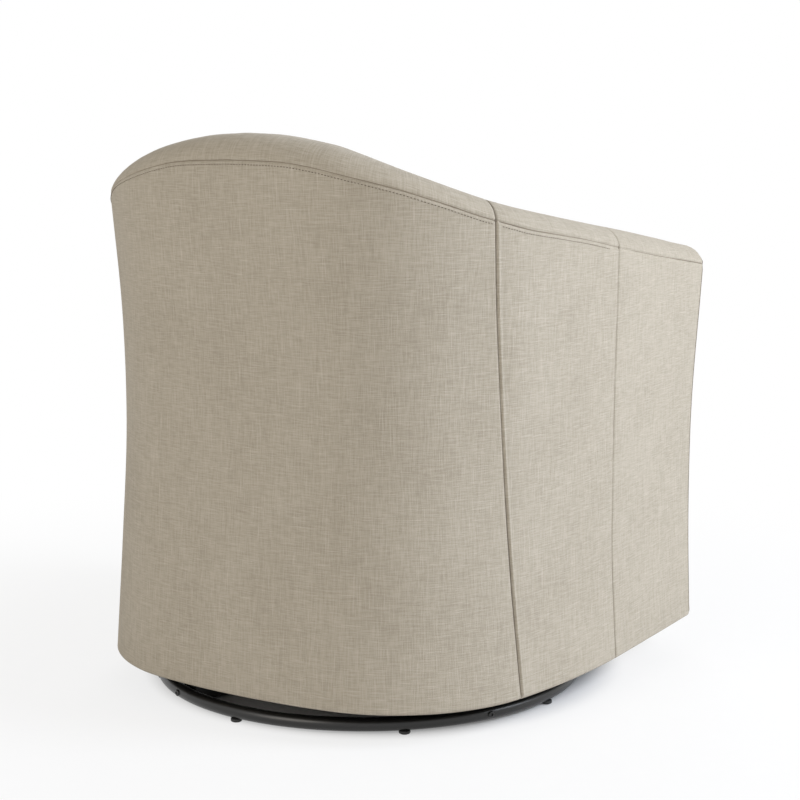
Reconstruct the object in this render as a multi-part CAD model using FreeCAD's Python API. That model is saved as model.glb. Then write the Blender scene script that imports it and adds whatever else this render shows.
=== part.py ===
"""Swivel barrel chair: a wrap-around upholstered shell that turns on a ball-bearing plate over a steel ring base.

Millimetres, +Z up. The chair faces -Y and the sitter's left is +X. The pieces are drawn about the swivel axis
and moved at the end, so that the origin lies on the floor under the middle of the chair's footprint.
"""
import FreeCAD
import Part
import math
import os
from FreeCAD import Vector

# Plan of the hem, from the swivel axis: back arc, corner arc and side arc, tangent in turn, then a straight run
BACK_REACH = 334.0
FRONT_REACH = 369.0
HALF_WIDTH = 365.5
BACK_RADIUS = 965.0
CORNER_RADIUS = 239.0
SIDE_RADIUS = 1136.0
CORNER_END = math.radians(78.1)
SIDE_END = math.radians(91.65)

# Heights of the shell
HEM_Z = 45.0
WAIST_TOP_Z = 720.0
BACK_WAIST = (0.0, 12.5, 22.5, 21.0, 8.5)
SIDE_WAIST = (0.0, 7.5, 9.0, 6.5, 2.4)
FRONT_LEAN = (0.0, 10.0, 14.0, 33.0, 47.0)
CREST_KNOTS = (0.0, 0.07, 0.14, 0.27, 0.41, 0.63, 1.0)
CREST_HEIGHTS = (801.5, 801.0, 793.0, 755.0, 710.0, 671.0, 625.0)
SEAM_DROP_BACK = 34.0
SEAM_DROP_ARM = 20.0
INNER_SEAM_DROP = 40.0

# Sections of the wall along each leg of the hem: back, corner, side and straight
SECTION_COUNTS = (2, 7, 3, 2)

# Wall of the shell
ARM_THICKNESS = 96.0
BACK_THICKNESS = 150.0
BACK_TOP_THICKNESS = 100.0
ROLL_CROWN_BACK = (46.0, 60.0)
ROLL_CROWN_ARM = (37.0, 57.0)
COVER = 2.0
WALL_LEVELS = 6
ROLL_CHORDS = 3
GAP = 0.3
JOINT_GAP = 0.05
CHORD_CLEARANCE = 1.0
CUT_REACH = 300.0
POST_INNER = 64.0
RAIL_HEIGHT = 18.0
RAIL_JOINT = 0.42
ARM_BOARD_THICKNESS = 3.2
ARM_BOARD = 0.43

# Seams of the outside, as shares of the half length of the hem
REAR_SEAM_FOOT = 0.457
REAR_SEAM_HEAD = 0.412
SIDE_SEAM = 0.709
INSIDE_SEAM = 0.33

# Frame boards
RIM_THICKNESS = 18.0
RIM_WIDTH = 62.0
SEAT_RIM_Z = 262.0
SEAT_RIM_WIDTH = 58.0
POST_WIDTH = 45.0
POST_SHARES = (0.15, 0.42, 0.69)
SWIVEL_RAIL_WIDTH = 70.0
SWIVEL_RAIL_HEIGHT = 30.0
SWIVEL_RAIL_X = 76.0

# Front of the seat, deck and cushion
BORDER_SETBACK = 8.0
BORDER_BEND = 14.0
FRONT_RAIL = 20.0
FACING_FOAM = 26.0
DECK_THICKNESS = 34.0
CUSHION_THICKNESS = 140.0
CUSHION_CROWN = 24.0
CUSHION_CLEARANCE = 2.0
CUSHION_SETBACK = 2.0
CUSHION_CORNER = 28.0
CUSHION_COVER = 1.5
CUSHION_PANEL_EDGE = 10.0
PLAN_STEP = 12.0

# Webbing of the back and seat
WEB_SHARES = (0.0, 0.085, 0.23, 0.34)
WEB_WIDTH = 50.0
WEB_THICKNESS = 2.0
WEB_LAP = 18.0
SEAT_WEB_LONG = 5
SEAT_WEB_CROSS = 5
SEAT_WEB_SIDE = 197.5
SEAT_WEB_END = 183.5
SEAT_WEB_FORWARD = 52.5
WEB_HEADROOM = 1.5

# Black cloth under the seat
DUST_THICKNESS = 0.6
DUST_CLEARANCE = 6.0

# Base ring, cross arms and glides
RING_RADIUS = 310.0
RING_TUBE = 19.0
RING_SIDES = 8
RING_STEPS = 72
ROUND_SIDES = 12
GLIDE_HEIGHT = 5.0
GLIDE_RADIUS = 8.0
GLIDE_EASE = 1.5
GLIDE_COUNT = 8
BASE_TURN = math.radians(-2.5)
ARM_TUBE_WIDTH = 38.0
ARM_TUBE_WALL = 2.0
ARM_TURN = math.radians(65.0)
RING_SCREW_RADIUS = 3.0
RING_SCREW_LENGTH = 26.0
RING_SCREW_HEAD = 5.0
RING_SCREW_HEAD_HEIGHT = 2.4

# Swivel bearing
PLATE_SIDE = 200.0
PLATE_CORNER = 18.0
PLATE_THICKNESS = 3.0
RACE_RADIUS = 70.0
BALL_RADIUS = 5.0
BALL_COUNT = 8
BALL_SIDES = 10
BALL_BANDS = 6
BALL_CLEARANCE = 0.06
CAGE_THICKNESS = 1.6
CAGE_WIDTH = 20.0
EYELET_RADIUS = 12.0
EYELET_FLANGE = 18.0
EYELET_FLANGE_THICKNESS = 2.0
EYELET_WALL = 3.0
RACE_WIDTH = 18.0
RACE_SIDES = 48
RUNNING_CLEARANCE = 0.06
BOLT_RADIUS = 4.0
BOLT_HEAD = 7.0
BOLT_HEAD_HEIGHT = 4.5
BOLT_HOLE_INSET = 24.0
BOLT_LENGTH = 24.0
NUT_HEIGHT = 6.0

# The origin lies under the middle of the footprint, so the swivel axis stands behind it
TOP_LEAN_Y = 41.5
AXIS_Y = (FRONT_REACH + TOP_LEAN_Y - BACK_REACH) / 2

RIM_Z = HEM_Z + COVER
RIM_TOP = RIM_Z + RIM_THICKNESS
SEAT_RIM_TOP = SEAT_RIM_Z + RIM_THICKNESS
DECK_Z = SEAT_RIM_TOP + 2 * WEB_THICKNESS + 3 * GAP
SUPPORT_INNER = POST_INNER + ARM_BOARD_THICKNESS + 2 * GAP
DECK_TOP = DECK_Z + DECK_THICKNESS
CUSHION_Z = DECK_TOP + GAP
CUSHION_TOP = CUSHION_Z + CUSHION_THICKNESS
FACING = COVER + GAP + FACING_FOAM + GAP
FRAME_FRONT = FRONT_REACH - FACING
RING_Z = GLIDE_HEIGHT + RING_TUBE / 2
ARM_TOP = GLIDE_HEIGHT + RING_TUBE
BALL_Z = (ARM_TOP + RIM_Z) / 2


def smooth(knots, values, x):
    """Smooth curve through values at knots, with the slope at each knot taken from its neighbours."""
    last = len(knots) - 1
    x = min(max(x, knots[0]), knots[last])
    i = 0
    while i < last - 1 and x > knots[i + 1]:
        i += 1

    def slope(k):
        lo = max(k - 1, 0)
        hi = min(k + 1, last)
        return (values[hi] - values[lo]) / (knots[hi] - knots[lo])

    h = knots[i + 1] - knots[i]
    u = (x - knots[i]) / h
    a = values[i] * (2 * u ** 3 - 3 * u ** 2 + 1) + values[i + 1] * (3 * u ** 2 - 2 * u ** 3)
    b = slope(i) * (u ** 3 - 2 * u ** 2 + u) + slope(i + 1) * (u ** 3 - u ** 2)
    return a + h * b


def even(values, u):
    """Smooth curve through values that are spaced evenly from 0 to 1."""
    knots = [k / (len(values) - 1) for k in range(len(values))]
    return smooth(knots, values, u)


# Hem outline as arcs: (centre, radius, first heading, last heading)
def hem_arcs():
    reach = HALF_WIDTH - SIDE_RADIUS + (SIDE_RADIUS - CORNER_RADIUS) * math.sin(CORNER_END)
    start = math.asin(reach / (BACK_RADIUS - CORNER_RADIUS))
    legs = []
    centre = (0.0, BACK_REACH - BACK_RADIUS)
    radius = BACK_RADIUS
    first = 0.0
    for last, following in ((start, CORNER_RADIUS), (CORNER_END, SIDE_RADIUS), (SIDE_END, SIDE_RADIUS)):
        legs.append((centre, radius, first, last))
        step = radius - following
        centre = (centre[0] + step * math.sin(last), centre[1] + step * math.cos(last))
        radius = following
        first = last
    return legs


LEGS = hem_arcs()
LEG_LENGTHS = [radius * (last - first) for centre, radius, first, last in LEGS]
SIDE_FOOT = (LEGS[2][0][0] + SIDE_RADIUS * math.sin(SIDE_END), LEGS[2][0][1] + SIDE_RADIUS * math.cos(SIDE_END))
STRAIGHT = (SIDE_FOOT[1] + FRONT_REACH) / math.sin(SIDE_END)
HALF_HEM = sum(LEG_LENGTHS) + STRAIGHT


def hem_at(s):
    """Point of the hem at the distance s from the middle of the back, and its heading."""
    side = -1.0 if s < 0 else 1.0
    rest = abs(s)
    for (centre, radius, first, last), length in zip(LEGS, LEG_LENGTHS):
        if rest <= length:
            turn = first + rest / radius
            x = centre[0] + radius * math.sin(turn)
            y = centre[1] + radius * math.cos(turn)
            return side * x, y, turn, side
        rest -= length
    x = SIDE_FOOT[0] + rest * math.cos(SIDE_END)
    y = SIDE_FOOT[1] - rest * math.sin(SIDE_END)
    return side * x, y, SIDE_END, side


def place(s, depth, z):
    """Point at the distance s along the hem, at a depth inside it and a height."""
    x, y, turn, side = hem_at(s)
    return Vector(x - side * depth * math.sin(turn), y - depth * math.cos(turn), z)


def side_share(s):
    """0 at the middle of the back, 1 along the arms."""
    u = min(hem_at(s)[2] / (math.pi / 2), 1.0)
    return u * u * (3 - 2 * u)


def blend(s, back, arm):
    share = side_share(s)
    return back * (1 - share) + arm * share


def crest(s):
    return smooth(CREST_KNOTS, CREST_HEIGHTS, abs(s) / HALF_HEM)


def seam_z(s):
    return crest(s) - blend(s, SEAM_DROP_BACK, SEAM_DROP_ARM)


def inner_seam_z(s):
    return crest(s) - INNER_SEAM_DROP


def outer_depth(s, z):
    u = (z - HEM_Z) / (WAIST_TOP_Z - HEM_Z)
    return blend(s, even(BACK_WAIST, u), even(SIDE_WAIST, u))


def cover_depth(s, z):
    """Depth of the outside cover, which is drawn straight from level to level."""
    top = seam_z(s) - GAP
    step = (top - HEM_Z) / (WALL_LEVELS - 1)
    k = min(max(int((z - HEM_Z) / step), 0), WALL_LEVELS - 2)
    low = HEM_Z + k * step
    share = min(max((z - low) / step, 0.0), 1.0)
    return outer_depth(s, low) * (1 - share) + outer_depth(s, low + step) * share


def inner_depth(s, z):
    u = min(max((z - CUSHION_TOP) / (CREST_HEIGHTS[0] - INNER_SEAM_DROP - CUSHION_TOP), 0.0), 1.0)
    back = BACK_THICKNESS + (BACK_TOP_THICKNESS - BACK_THICKNESS) * u * u * (3 - 2 * u)
    return blend(s, back, ARM_THICKNESS)


def front_y(z):
    """Front edge of the arms, which leans forward as it rises."""
    u = (z - HEM_Z) / (WAIST_TOP_Z - HEM_Z)
    return -FRONT_REACH - even(FRONT_LEAN, u)


def stations(first, last):
    """Distances along the hem for the sections of a loft, closer together round the corners."""
    marks = [0.0]
    run = 0.0
    for length, parts in zip(LEG_LENGTHS + [STRAIGHT], SECTION_COUNTS):
        marks += [run + length * k / parts for k in range(1, parts + 1)]
        run += length
    marks = sorted([-m for m in marks[1:]] + marks)
    least = 12.0
    inside = [m for m in marks if first + least < m < last - least]
    return [first] + inside + [last]


def line(a, b):
    return Part.LineSegment(a, b).toShape()


def spline(points):
    curve = Part.BSplineCurve()
    curve.interpolate(points)
    return curve.toShape()


def arc(a, b, c):
    return Part.Arc(a, b, c).toShape()


def solid_of(shape):
    body = Part.Solid(shape) if shape.ShapeType == "Shell" else shape
    if body.Volume < 0:
        body.reverse()
    return body


def flat(points):
    return Part.Face(Part.makePolygon(points + [points[0]]))


def facets(rings, endless=False):
    """Solid with flat faces through closed sections of equal count, each face split the same way in every layer."""
    faces = [] if endless else [flat(rings[0]), flat(rings[-1])]
    following = rings[1:] + rings[:1] if endless else rings[1:]
    count = len(rings[0])
    for near, far in zip(rings, following):
        for k in range(count):
            n = (k + 1) % count
            a, b, c, d = near[k], near[n], far[n], far[k]
            across = (b - a).cross(c - a)
            if abs(across.dot(d - a)) < 1e-7 * across.Length:
                faces.append(flat([a, b, c, d]))
                continue
            rising = b.z > a.z
            if abs(b.z - a.z) < 1e-6:
                rising = math.hypot(b.x, b.y) > math.hypot(a.x, a.y)
            if (rising and a.x + c.x > 0) or (not rising and a.x + c.x <= 0):
                faces += [flat([a, b, c]), flat([a, c, d])]
            else:
                faces += [flat([a, b, d]), flat([b, c, d])]
    shell = Part.Shell(faces)
    shell.sewShape()
    return solid_of(shell)


def prism(wire, run):
    return solid_of(Part.Face(wire).extrude(run))


def heights(low, high, count):
    return [low + (high - low) * k / (count - 1) for k in range(count)]


def layer_section(s, low, high, outside, inside, count):
    """Closed section of one layer of the wall, between two depths given as functions of height."""
    levels = heights(low, high, count)
    out = [place(s, outside(s, z), z) for z in levels]
    back = [place(s, inside(s, z), z) for z in reversed(levels)]
    return out + back


def roll_points(s, inset):
    """Depths and heights along the top roll: outer seam, shoulder, two crown edges, shoulder, inner seam."""
    top = crest(s)
    low_out = seam_z(s)
    low_in = inner_seam_z(s)
    crown_out = blend(s, ROLL_CROWN_BACK[0], ROLL_CROWN_ARM[0])
    crown_in = blend(s, ROLL_CROWN_BACK[1], ROLL_CROWN_ARM[1])
    found = []
    for depth, z, crown, sign in (
        (outer_depth(s, low_out), low_out, crown_out, -1),
        (inner_depth(s, low_in), low_in, crown_in, 1),
    ):
        run = abs(crown - depth)
        drop = top - z
        radius = (run * run + drop * drop) / (2 * drop)
        sweep = math.atan2(run, radius - drop)
        points = [(depth - sign * inset, z)]
        for k in range(1, ROLL_CHORDS + 1):
            turn = sweep * (1 - k / ROLL_CHORDS)
            reach = radius - inset
            points.append((crown + sign * reach * math.sin(turn), top - radius + reach * math.cos(turn)))
        found.append(points)
    outer, inner = found
    return outer + inner[::-1]


def roll_line(s, inset):
    return [place(s, depth, z) for depth, z in roll_points(s, inset)]


def roll_skin_section(s):
    """Cover of the roll with its wadding."""
    return roll_line(s, 0.0) + roll_line(s, COVER)[::-1]


def roll_foam_section(s):
    """Foam of the roll: down the outer side to the top of the rail, flat underneath."""
    foot = inner_seam_z(s) - GAP
    low_out = place(s, cover_depth(s, foot) + COVER + 2 * GAP, foot)
    low_in = place(s, inner_depth(s, foot) - COVER - GAP, foot)
    return roll_line(s, COVER + GAP) + [low_in, low_out]


def wall_section(s, inset):
    """Whole wall, from the hem up over the roll and down the inside."""
    points = roll_points(s, inset)
    foot = HEM_Z + inset
    out = [place(s, outer_depth(s, z) + inset, z) for z in heights(foot, points[0][1], WALL_LEVELS)]
    back = [place(s, inner_depth(s, z) - inset, z) for z in heights(points[-1][1], foot, WALL_LEVELS)]
    return out[:-1] + [place(s, depth, z) for depth, z in points] + back[1:]


def mirrored(shape):
    return shape.mirror(Vector(0, 0, 0), Vector(1, 0, 0))


def front_slab(near, far):
    """Slab across the chair between two distances behind the front edge of the arms."""
    top = CREST_HEIGHTS[0]
    levels = heights(HEM_Z - 20, top, 9)
    reach = HALF_WIDTH + 100
    a = [Vector(-reach, front_y(z) + near, z) for z in levels]
    b = [Vector(-reach, front_y(z) + far, z) for z in reversed(levels)]
    return prism(Part.makePolygon(a + b + [a[0]]), Vector(2 * reach, 0, 0))


ARM_END = HALF_HEM + FRONT_LEAN[-1] + 20
FRAME_CUT = front_slab(-CUT_REACH, FACING)
COVER_CUT = front_slab(-CUT_REACH, COVER + GAP)


def trimmed(shape):
    """Frame or foam piece cut back to the foam of the arm facing."""
    return shape.cut(FRAME_CUT)


def plan_outline(inset, front, z):
    """Level outline of the wall at a depth inside the hem, which may change along it, with a straight front."""
    depth = inset if callable(inset) else lambda s: inset
    marks = stations(0, HALF_HEM)
    left = [place(s, depth(s), z) for s in marks]
    left = [p for p in left if p.y > PLAN_STEP - front]
    reach = depth(HALF_HEM)
    foot = place(HALF_HEM - STRAIGHT, reach, z)
    run = (foot.y + front) / math.sin(SIDE_END)
    left.append(Vector(foot.x + run * math.cos(SIDE_END), -front, z))
    right = [Vector(-p.x, p.y, z) for p in left[1:]]
    return right[::-1] + left


def plan_prism(inset, front, low, high):
    outline = plan_outline(inset, front, low)
    return prism(Part.makePolygon(outline + [outline[0]]), Vector(0, 0, high - low))


def box(x0, x1, y0, y1, z0, z1):
    return Part.makeBox(x1 - x0, y1 - y0, z1 - z0, Vector(x0, y0, z0))


def disc(radius, low, high, x=0.0, y=0.0):
    return Part.makeCylinder(radius, high - low, Vector(x, y, low))


def rounded(radius, low, high, x=0.0, y=0.0, sides=ROUND_SIDES, turn=0.0):
    """Upright bar with flat sides, its corners on a circle."""
    ring = [Vector(x + radius * math.cos(turn + 2 * math.pi * k / sides),
                   y + radius * math.sin(turn + 2 * math.pi * k / sides), low) for k in range(sides)]
    return prism(Part.makePolygon(ring + [ring[0]]), Vector(0, 0, high - low))


def around(angle, radius):
    """Point on a circle about the axis, with the angle taken from the front towards the sitter's left."""
    return radius * math.sin(angle), -radius * math.cos(angle)


def biggest(shape):
    return max(shape.Solids, key=lambda piece: piece.Volume)


def seam_slab(foot, head, side, reach=220.0):
    """Thin upright slab through the wall, from a place on the hem to a place on the crest."""
    low = place(side * foot * HALF_HEM, 0, HEM_Z - 60)
    high = place(side * head * HALF_HEM, 0, CREST_HEIGHTS[0] + 60)
    turn = hem_at((foot + head) / 2 * HALF_HEM)[2]
    outward = Vector(side * math.sin(turn), math.cos(turn), 0)
    a = low + outward * 40
    b = high + outward * 40
    outline = Part.makePolygon([a, b, b - outward * reach, a - outward * reach, a])
    normal = (b - a).cross(outward)
    normal.normalize()
    slab = prism(outline, normal * GAP)
    slab.translate(normal * (-GAP / 2))
    return slab


SEAM_SLABS = [seam_slab(foot, head, side) for side in (1, -1)
              for foot, head in ((REAR_SEAM_FOOT, REAR_SEAM_HEAD), (SIDE_SEAM, SIDE_SEAM))]


def pick(shape, share, z):
    """The solid that lies nearest to a place on the outside of the wall."""
    target = Part.Vertex(place(share * HALF_HEM, 0, z))
    return min(shape.Solids, key=lambda piece: piece.distToShape(target)[0])


def wrap(section):
    """Cover round the whole chair, from one arm facing to the other."""
    return facets([section(s) for s in stations(-ARM_END, ARM_END)]).cut(COVER_CUT)


def outside_covers():
    """Outside back, two side panels and two front panels, sewn together at the upright seams."""
    def section(s):
        return layer_section(s, HEM_Z, seam_z(s) - GAP, outer_depth, lambda t, z: outer_depth(t, z) + COVER,
                             WALL_LEVELS)
    panels = wrap(section).cut(SEAM_SLABS)
    middle = (HEM_Z + SEAT_RIM_Z) / 2
    side = (REAR_SEAM_FOOT + SIDE_SEAM) / 2
    front = (SIDE_SEAM + 1) / 2
    save("outside_back_cover", pick(panels, 0, middle))
    for name, sign in SIDES:
        save("outside_side_cover_" + name, pick(panels, sign * side, middle))
        save("outside_front_cover_" + name, pick(panels, sign * front, middle))


def roll_covers():
    """Strip over the top of the wall, in five lengths that meet over the upright seams."""
    lengths = wrap(roll_skin_section).cut(SEAM_SLABS)
    side = (REAR_SEAM_HEAD + SIDE_SEAM) / 2
    front = (SIDE_SEAM + 1) / 2
    save("top_roll_cover_back", pick(lengths, 0, crest(0)))
    for name, sign in SIDES:
        save("top_roll_cover_side_" + name, pick(lengths, sign * side, crest(side * HALF_HEM)))
        save("top_roll_cover_front_" + name, pick(lengths, sign * front, crest(front * HALF_HEM)))


def roll_foams():
    """Foam of the top roll, glued along the top of the rail."""
    end = RAIL_JOINT * HALF_HEM
    save("top_roll_foam_back", facets([roll_foam_section(s) for s in stations(-end, end)]))
    left = trimmed(facets([roll_foam_section(s) for s in stations(end + GAP, ARM_END)]))
    save_pair("top_roll_foam", left)


def inner_face(s, z):
    return inner_depth(s, z) - COVER - GAP


def inside_covers():
    """Inside back and inside arms, pulled down past the deck."""
    def section(s):
        return layer_section(s, DECK_Z, inner_seam_z(s) - GAP, lambda t, z: inner_depth(t, z) - COVER,
                             inner_depth, WALL_LEVELS)
    slabs = [seam_slab(INSIDE_SEAM, INSIDE_SEAM, side) for side in (1, -1)]
    panels = wrap(section).cut(slabs)
    middle = (DECK_Z + CUSHION_TOP) / 2
    save("inside_back_cover", pick(panels, 0, middle))
    for name, sign in SIDES:
        save("inside_arm_cover_" + name, pick(panels, sign * (INSIDE_SEAM + 1) / 2, middle))


def inside_foams():
    """Foam of the inside back and arms, glued to the webbing and the arm boards."""
    def section(s):
        low = DECK_Z
        high = inner_seam_z(s) - 3 * GAP
        face = [place(s, inner_face(s, z), z) for z in heights(low, high, WALL_LEVELS)]
        return face + [place(s, SUPPORT_INNER, high), place(s, SUPPORT_INNER, low)]
    end = INSIDE_SEAM * HALF_HEM
    save("inside_back_foam", facets([section(s) for s in stations(-end, end)]))
    save_pair("inside_arm_foam", trimmed(facets([section(s) for s in stations(end + GAP, ARM_END)])))


def arm_facings():
    """Foam and cover over the front end of each arm."""
    near = HALF_HEM - FACING - 60
    marks = stations(near, ARM_END)
    foam = facets([wall_section(s, COVER + GAP) for s in marks])
    skin = facets([wall_section(s, 0.0) for s in marks])
    save_pair("arm_facing_foam", foam.common(front_slab(COVER + GAP, FACING - GAP)))
    save_pair("arm_facing_cover", skin.common(front_slab(0, COVER)))


# Frame
def rim_depth(s):
    return outer_depth(s, RIM_TOP) + COVER + 2 * GAP


def bottom_rim():
    """Board that the chair's outline is sawn from, with the covers tacked round and under it."""
    outside = plan_prism(rim_depth, FRAME_FRONT, RIM_Z, RIM_TOP)
    inside = plan_prism(COVER + GAP + RIM_WIDTH, FRAME_FRONT - RIM_WIDTH, RIM_Z - 1, RIM_TOP + 1)
    save("bottom_rim", outside.cut(inside))


def seat_rim():
    """Board that carries the seat webbing, screwed to the inner faces of the posts."""
    outside = plan_prism(POST_INNER + GAP, FRAME_FRONT - FRONT_RAIL - GAP, SEAT_RIM_Z, SEAT_RIM_TOP)
    inside = plan_prism(POST_INNER + SEAT_RIM_WIDTH, FRAME_FRONT - FRONT_RAIL - SEAT_RIM_WIDTH,
                        SEAT_RIM_Z - 1, SEAT_RIM_TOP + 1)
    save("seat_rim", outside.cut(inside))


def rail_depth(s):
    top = crest(s) - INNER_SEAM_DROP
    return max(cover_depth(s, top), cover_depth(s, top - RAIL_HEIGHT)) + COVER + 3 * GAP


def post_depth(s):
    """Depth that a straight post needs to stand clear of the outside cover, over its whole width and height."""
    origin = place(s, 0, 0)
    outward = origin - place(s, 1, 0)
    found = []
    for near in (s - POST_WIDTH / 2, s, s + POST_WIDTH / 2):
        drop = (origin - place(near, 0, 0)).dot(outward)
        found += [cover_depth(near, z) + drop for z in heights(HEM_Z, seam_z(s), 2 * WALL_LEVELS)]
    return max(found) + COVER + 2 * GAP + CHORD_CLEARANCE


def rail_section(s, rise, clearance=0.0):
    """Section of the top rail, or of the space over its underside."""
    top = inner_seam_z(s) - 2 * GAP
    foot = top - RAIL_HEIGHT - clearance
    near = rail_depth(s)
    far = SUPPORT_INNER - GAP
    return [place(s, near, foot), place(s, near, top + rise), place(s, far, top + rise), place(s, far, foot)]


def frame():
    end = RAIL_JOINT * HALF_HEM
    save("top_rail_back", facets([rail_section(s, 0.0) for s in stations(-end, end)]))
    save_pair("arm_rail", trimmed(facets([rail_section(s, 0.0) for s in stations(end + GAP, ARM_END)])))
    over = facets([rail_section(s, CUT_REACH, CHORD_CLEARANCE) for s in stations(0, ARM_END)])
    posts = []
    for share in POST_SHARES:
        s = share * HALF_HEM
        x, y, turn, side = hem_at(s)
        size = POST_INNER - post_depth(s)
        post = box(-POST_WIDTH / 2, POST_WIDTH / 2, 0, size, RIM_TOP, CREST_HEIGHTS[0])
        post.rotate(Vector(0, 0, 0), Vector(0, 0, 1), -math.degrees(turn))
        corner = place(s, POST_INNER, 0)
        post.translate(corner)
        posts.append(biggest(post.cut(over)))
    save("back_posts", Part.makeCompound([posts[0], mirrored(posts[0])]))
    save("side_posts", Part.makeCompound(posts[1:] + [mirrored(p) for p in posts[1:]]))
    first = HALF_HEM - FACING - POST_WIDTH - 60

    def core(s):
        near = max(outer_depth(s, z) for z in heights(HEM_Z, WAIST_TOP_Z, 9)) + COVER + 2 * GAP
        return [place(s, near, RIM_TOP), place(s, near, crest(s)), place(s, POST_INNER, crest(s)),
                place(s, POST_INNER, RIM_TOP)]
    front = facets([core(s) for s in stations(first, ARM_END)])
    front = front.common(front_slab(FACING, FACING + POST_WIDTH)).cut(over)
    save_pair("front_post", biggest(front))


def arm_boards():
    """Thin boards on the inner faces of the posts, under the foam of the inside arms."""
    def section(s):
        low = SEAT_RIM_TOP + GAP
        high = inner_seam_z(s) - RAIL_HEIGHT - 3 * GAP
        near = POST_INNER + GAP
        far = SUPPORT_INNER - GAP
        return [place(s, near, low), place(s, near, high), place(s, far, high), place(s, far, low)]
    save_pair("inside_arm_board", trimmed(facets([section(s) for s in stations(ARM_BOARD * HALF_HEM, ARM_END)])))


def back_webbing():
    """Upright straps from the seat rim to the top rail, behind the foam of the inside back."""
    straps = []
    for share in WEB_SHARES + tuple(-w for w in WEB_SHARES if w > 0):
        s = share * HALF_HEM
        x, y, turn, side = hem_at(s)
        high = inner_seam_z(abs(s) + WEB_WIDTH) - RAIL_HEIGHT - WEB_HEADROOM
        strap = box(-WEB_WIDTH / 2, WEB_WIDTH / 2, -WEB_THICKNESS, 0, SEAT_RIM_TOP + GAP, high)
        strap.rotate(Vector(0, 0, 0), Vector(0, 0, 1), -side * math.degrees(turn))
        strap.translate(place(s, POST_INNER + GAP, 0))
        straps.append(strap)
    save("back_webbing", Part.makeCompound(straps))


def seat_webbing():
    """Straps over the seat rim: lengthwise ones below, crosswise ones above."""
    inside = plan_prism(POST_INNER + 2 * GAP + WEB_LAP, FRAME_FRONT - FRONT_RAIL - 2 * GAP, SEAT_RIM_TOP, DECK_Z)
    long_straps = []
    pitch = 2 * (HALF_WIDTH - SEAT_WEB_SIDE) / (SEAT_WEB_LONG - 1)
    for k in range(SEAT_WEB_LONG):
        x = (k - (SEAT_WEB_LONG - 1) / 2) * pitch
        low = SEAT_RIM_TOP + GAP
        strap = box(x - WEB_WIDTH / 2, x + WEB_WIDTH / 2, -FRONT_REACH, BACK_REACH, low, low + WEB_THICKNESS)
        long_straps.append(strap.common(inside))
    cross_straps = []
    pitch = (FRONT_REACH + BACK_REACH - 2 * SEAT_WEB_END) / (SEAT_WEB_CROSS - 1)
    middle = (BACK_REACH - FRONT_REACH) / 2 - SEAT_WEB_FORWARD
    for k in range(SEAT_WEB_CROSS):
        y = middle + (k - (SEAT_WEB_CROSS - 1) / 2) * pitch
        low = SEAT_RIM_TOP + 2 * GAP + WEB_THICKNESS
        strap = box(-HALF_WIDTH, HALF_WIDTH, y - WEB_WIDTH / 2, y + WEB_WIDTH / 2, low, low + WEB_THICKNESS)
        cross_straps.append(strap.common(inside))
    save("seat_webbing_lengthwise", Part.makeCompound(long_straps))
    save("seat_webbing_crosswise", Part.makeCompound(cross_straps))


def inside_outline(clearance, z, front, corner=0.0):
    """Outline parallel to the inner face of the wall, closed by a straight front with cut corners."""
    marks = stations(-HALF_HEM, HALF_HEM)
    points = [place(s, inner_depth(s, z) + clearance, z) for s in marks]
    half = abs(place(HALF_HEM, ARM_THICKNESS + clearance, z).x)
    points = [p for p in points if p.y > front + corner + PLAN_STEP]
    bevel = corner * (1 - math.sqrt(0.5))
    right = [Vector(-half, front + corner, z)]
    left = [Vector(half, front + corner, z)]
    if corner > 0:
        right = [Vector(-half + corner, front, z), Vector(-half + bevel, front + bevel, z)] + right
        left += [Vector(half - bevel, front + bevel, z), Vector(half - corner, front, z)]
    return right + points + left


def deck():
    front = -FRAME_FRONT + FRONT_RAIL + GAP
    outline = inside_outline(GAP, DECK_Z, front)
    save("deck_pad", prism(Part.makePolygon(outline + [outline[0]]), Vector(0, 0, DECK_THICKNESS)))


def border():
    """Front rail with the foam and cover of the border under the cushion."""
    half = place(HALF_HEM, ARM_THICKNESS, 0).x - GAP
    rail_half = place(HALF_HEM, POST_INNER, 0).x - GAP
    rail_y = -FRAME_FRONT
    save("front_rail", box(-rail_half, rail_half, rail_y, rail_y + FRONT_RAIL, RIM_TOP, SEAT_RIM_TOP))

    def profile(inset, foot):
        top = DECK_TOP - inset
        bend = BORDER_BEND - inset
        levels = heights(foot, top - bend, 5)
        face = [Vector(-half, front_y(z) + BORDER_SETBACK + inset, z) for z in levels]
        centre = Vector(-half, face[-1].y + bend, top - bend)
        middle = centre + Vector(0, -bend * math.sqrt(0.5), bend * math.sqrt(0.5))
        return face, middle, centre + Vector(0, 0, bend)

    face, middle, crown = profile(COVER + GAP, RIM_Z)
    back = Vector(-half, rail_y + FRONT_RAIL, crown.z)
    step = Vector(-half, back.y, SEAT_RIM_TOP + GAP)
    seat = Vector(-half, rail_y - GAP, step.z)
    foot = Vector(-half, seat.y, face[0].z)
    edges = [spline(face), arc(face[-1], middle, crown), line(crown, back), line(back, step)]
    edges += [line(step, seat), line(seat, foot), line(foot, face[0])]
    save("front_border_foam", prism(Part.Wire(edges), Vector(2 * half, 0, 0)))

    face, middle, crown = profile(0.0, HEM_Z)
    under, under_middle, under_crown = profile(COVER, HEM_Z)
    back = Vector(-half, rail_y + FRONT_RAIL, crown.z)
    inner_back = Vector(-half, back.y, crown.z - COVER)
    edges = [spline(face), arc(face[-1], middle, crown), line(crown, back), line(back, inner_back)]
    edges += [line(inner_back, under_crown), arc(under_crown, under_middle, under[-1])]
    edges += [spline(under[::-1]), line(under[0], face[0])]
    save("front_border_cover", prism(Part.Wire(edges), Vector(2 * half, 0, 0)))


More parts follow.
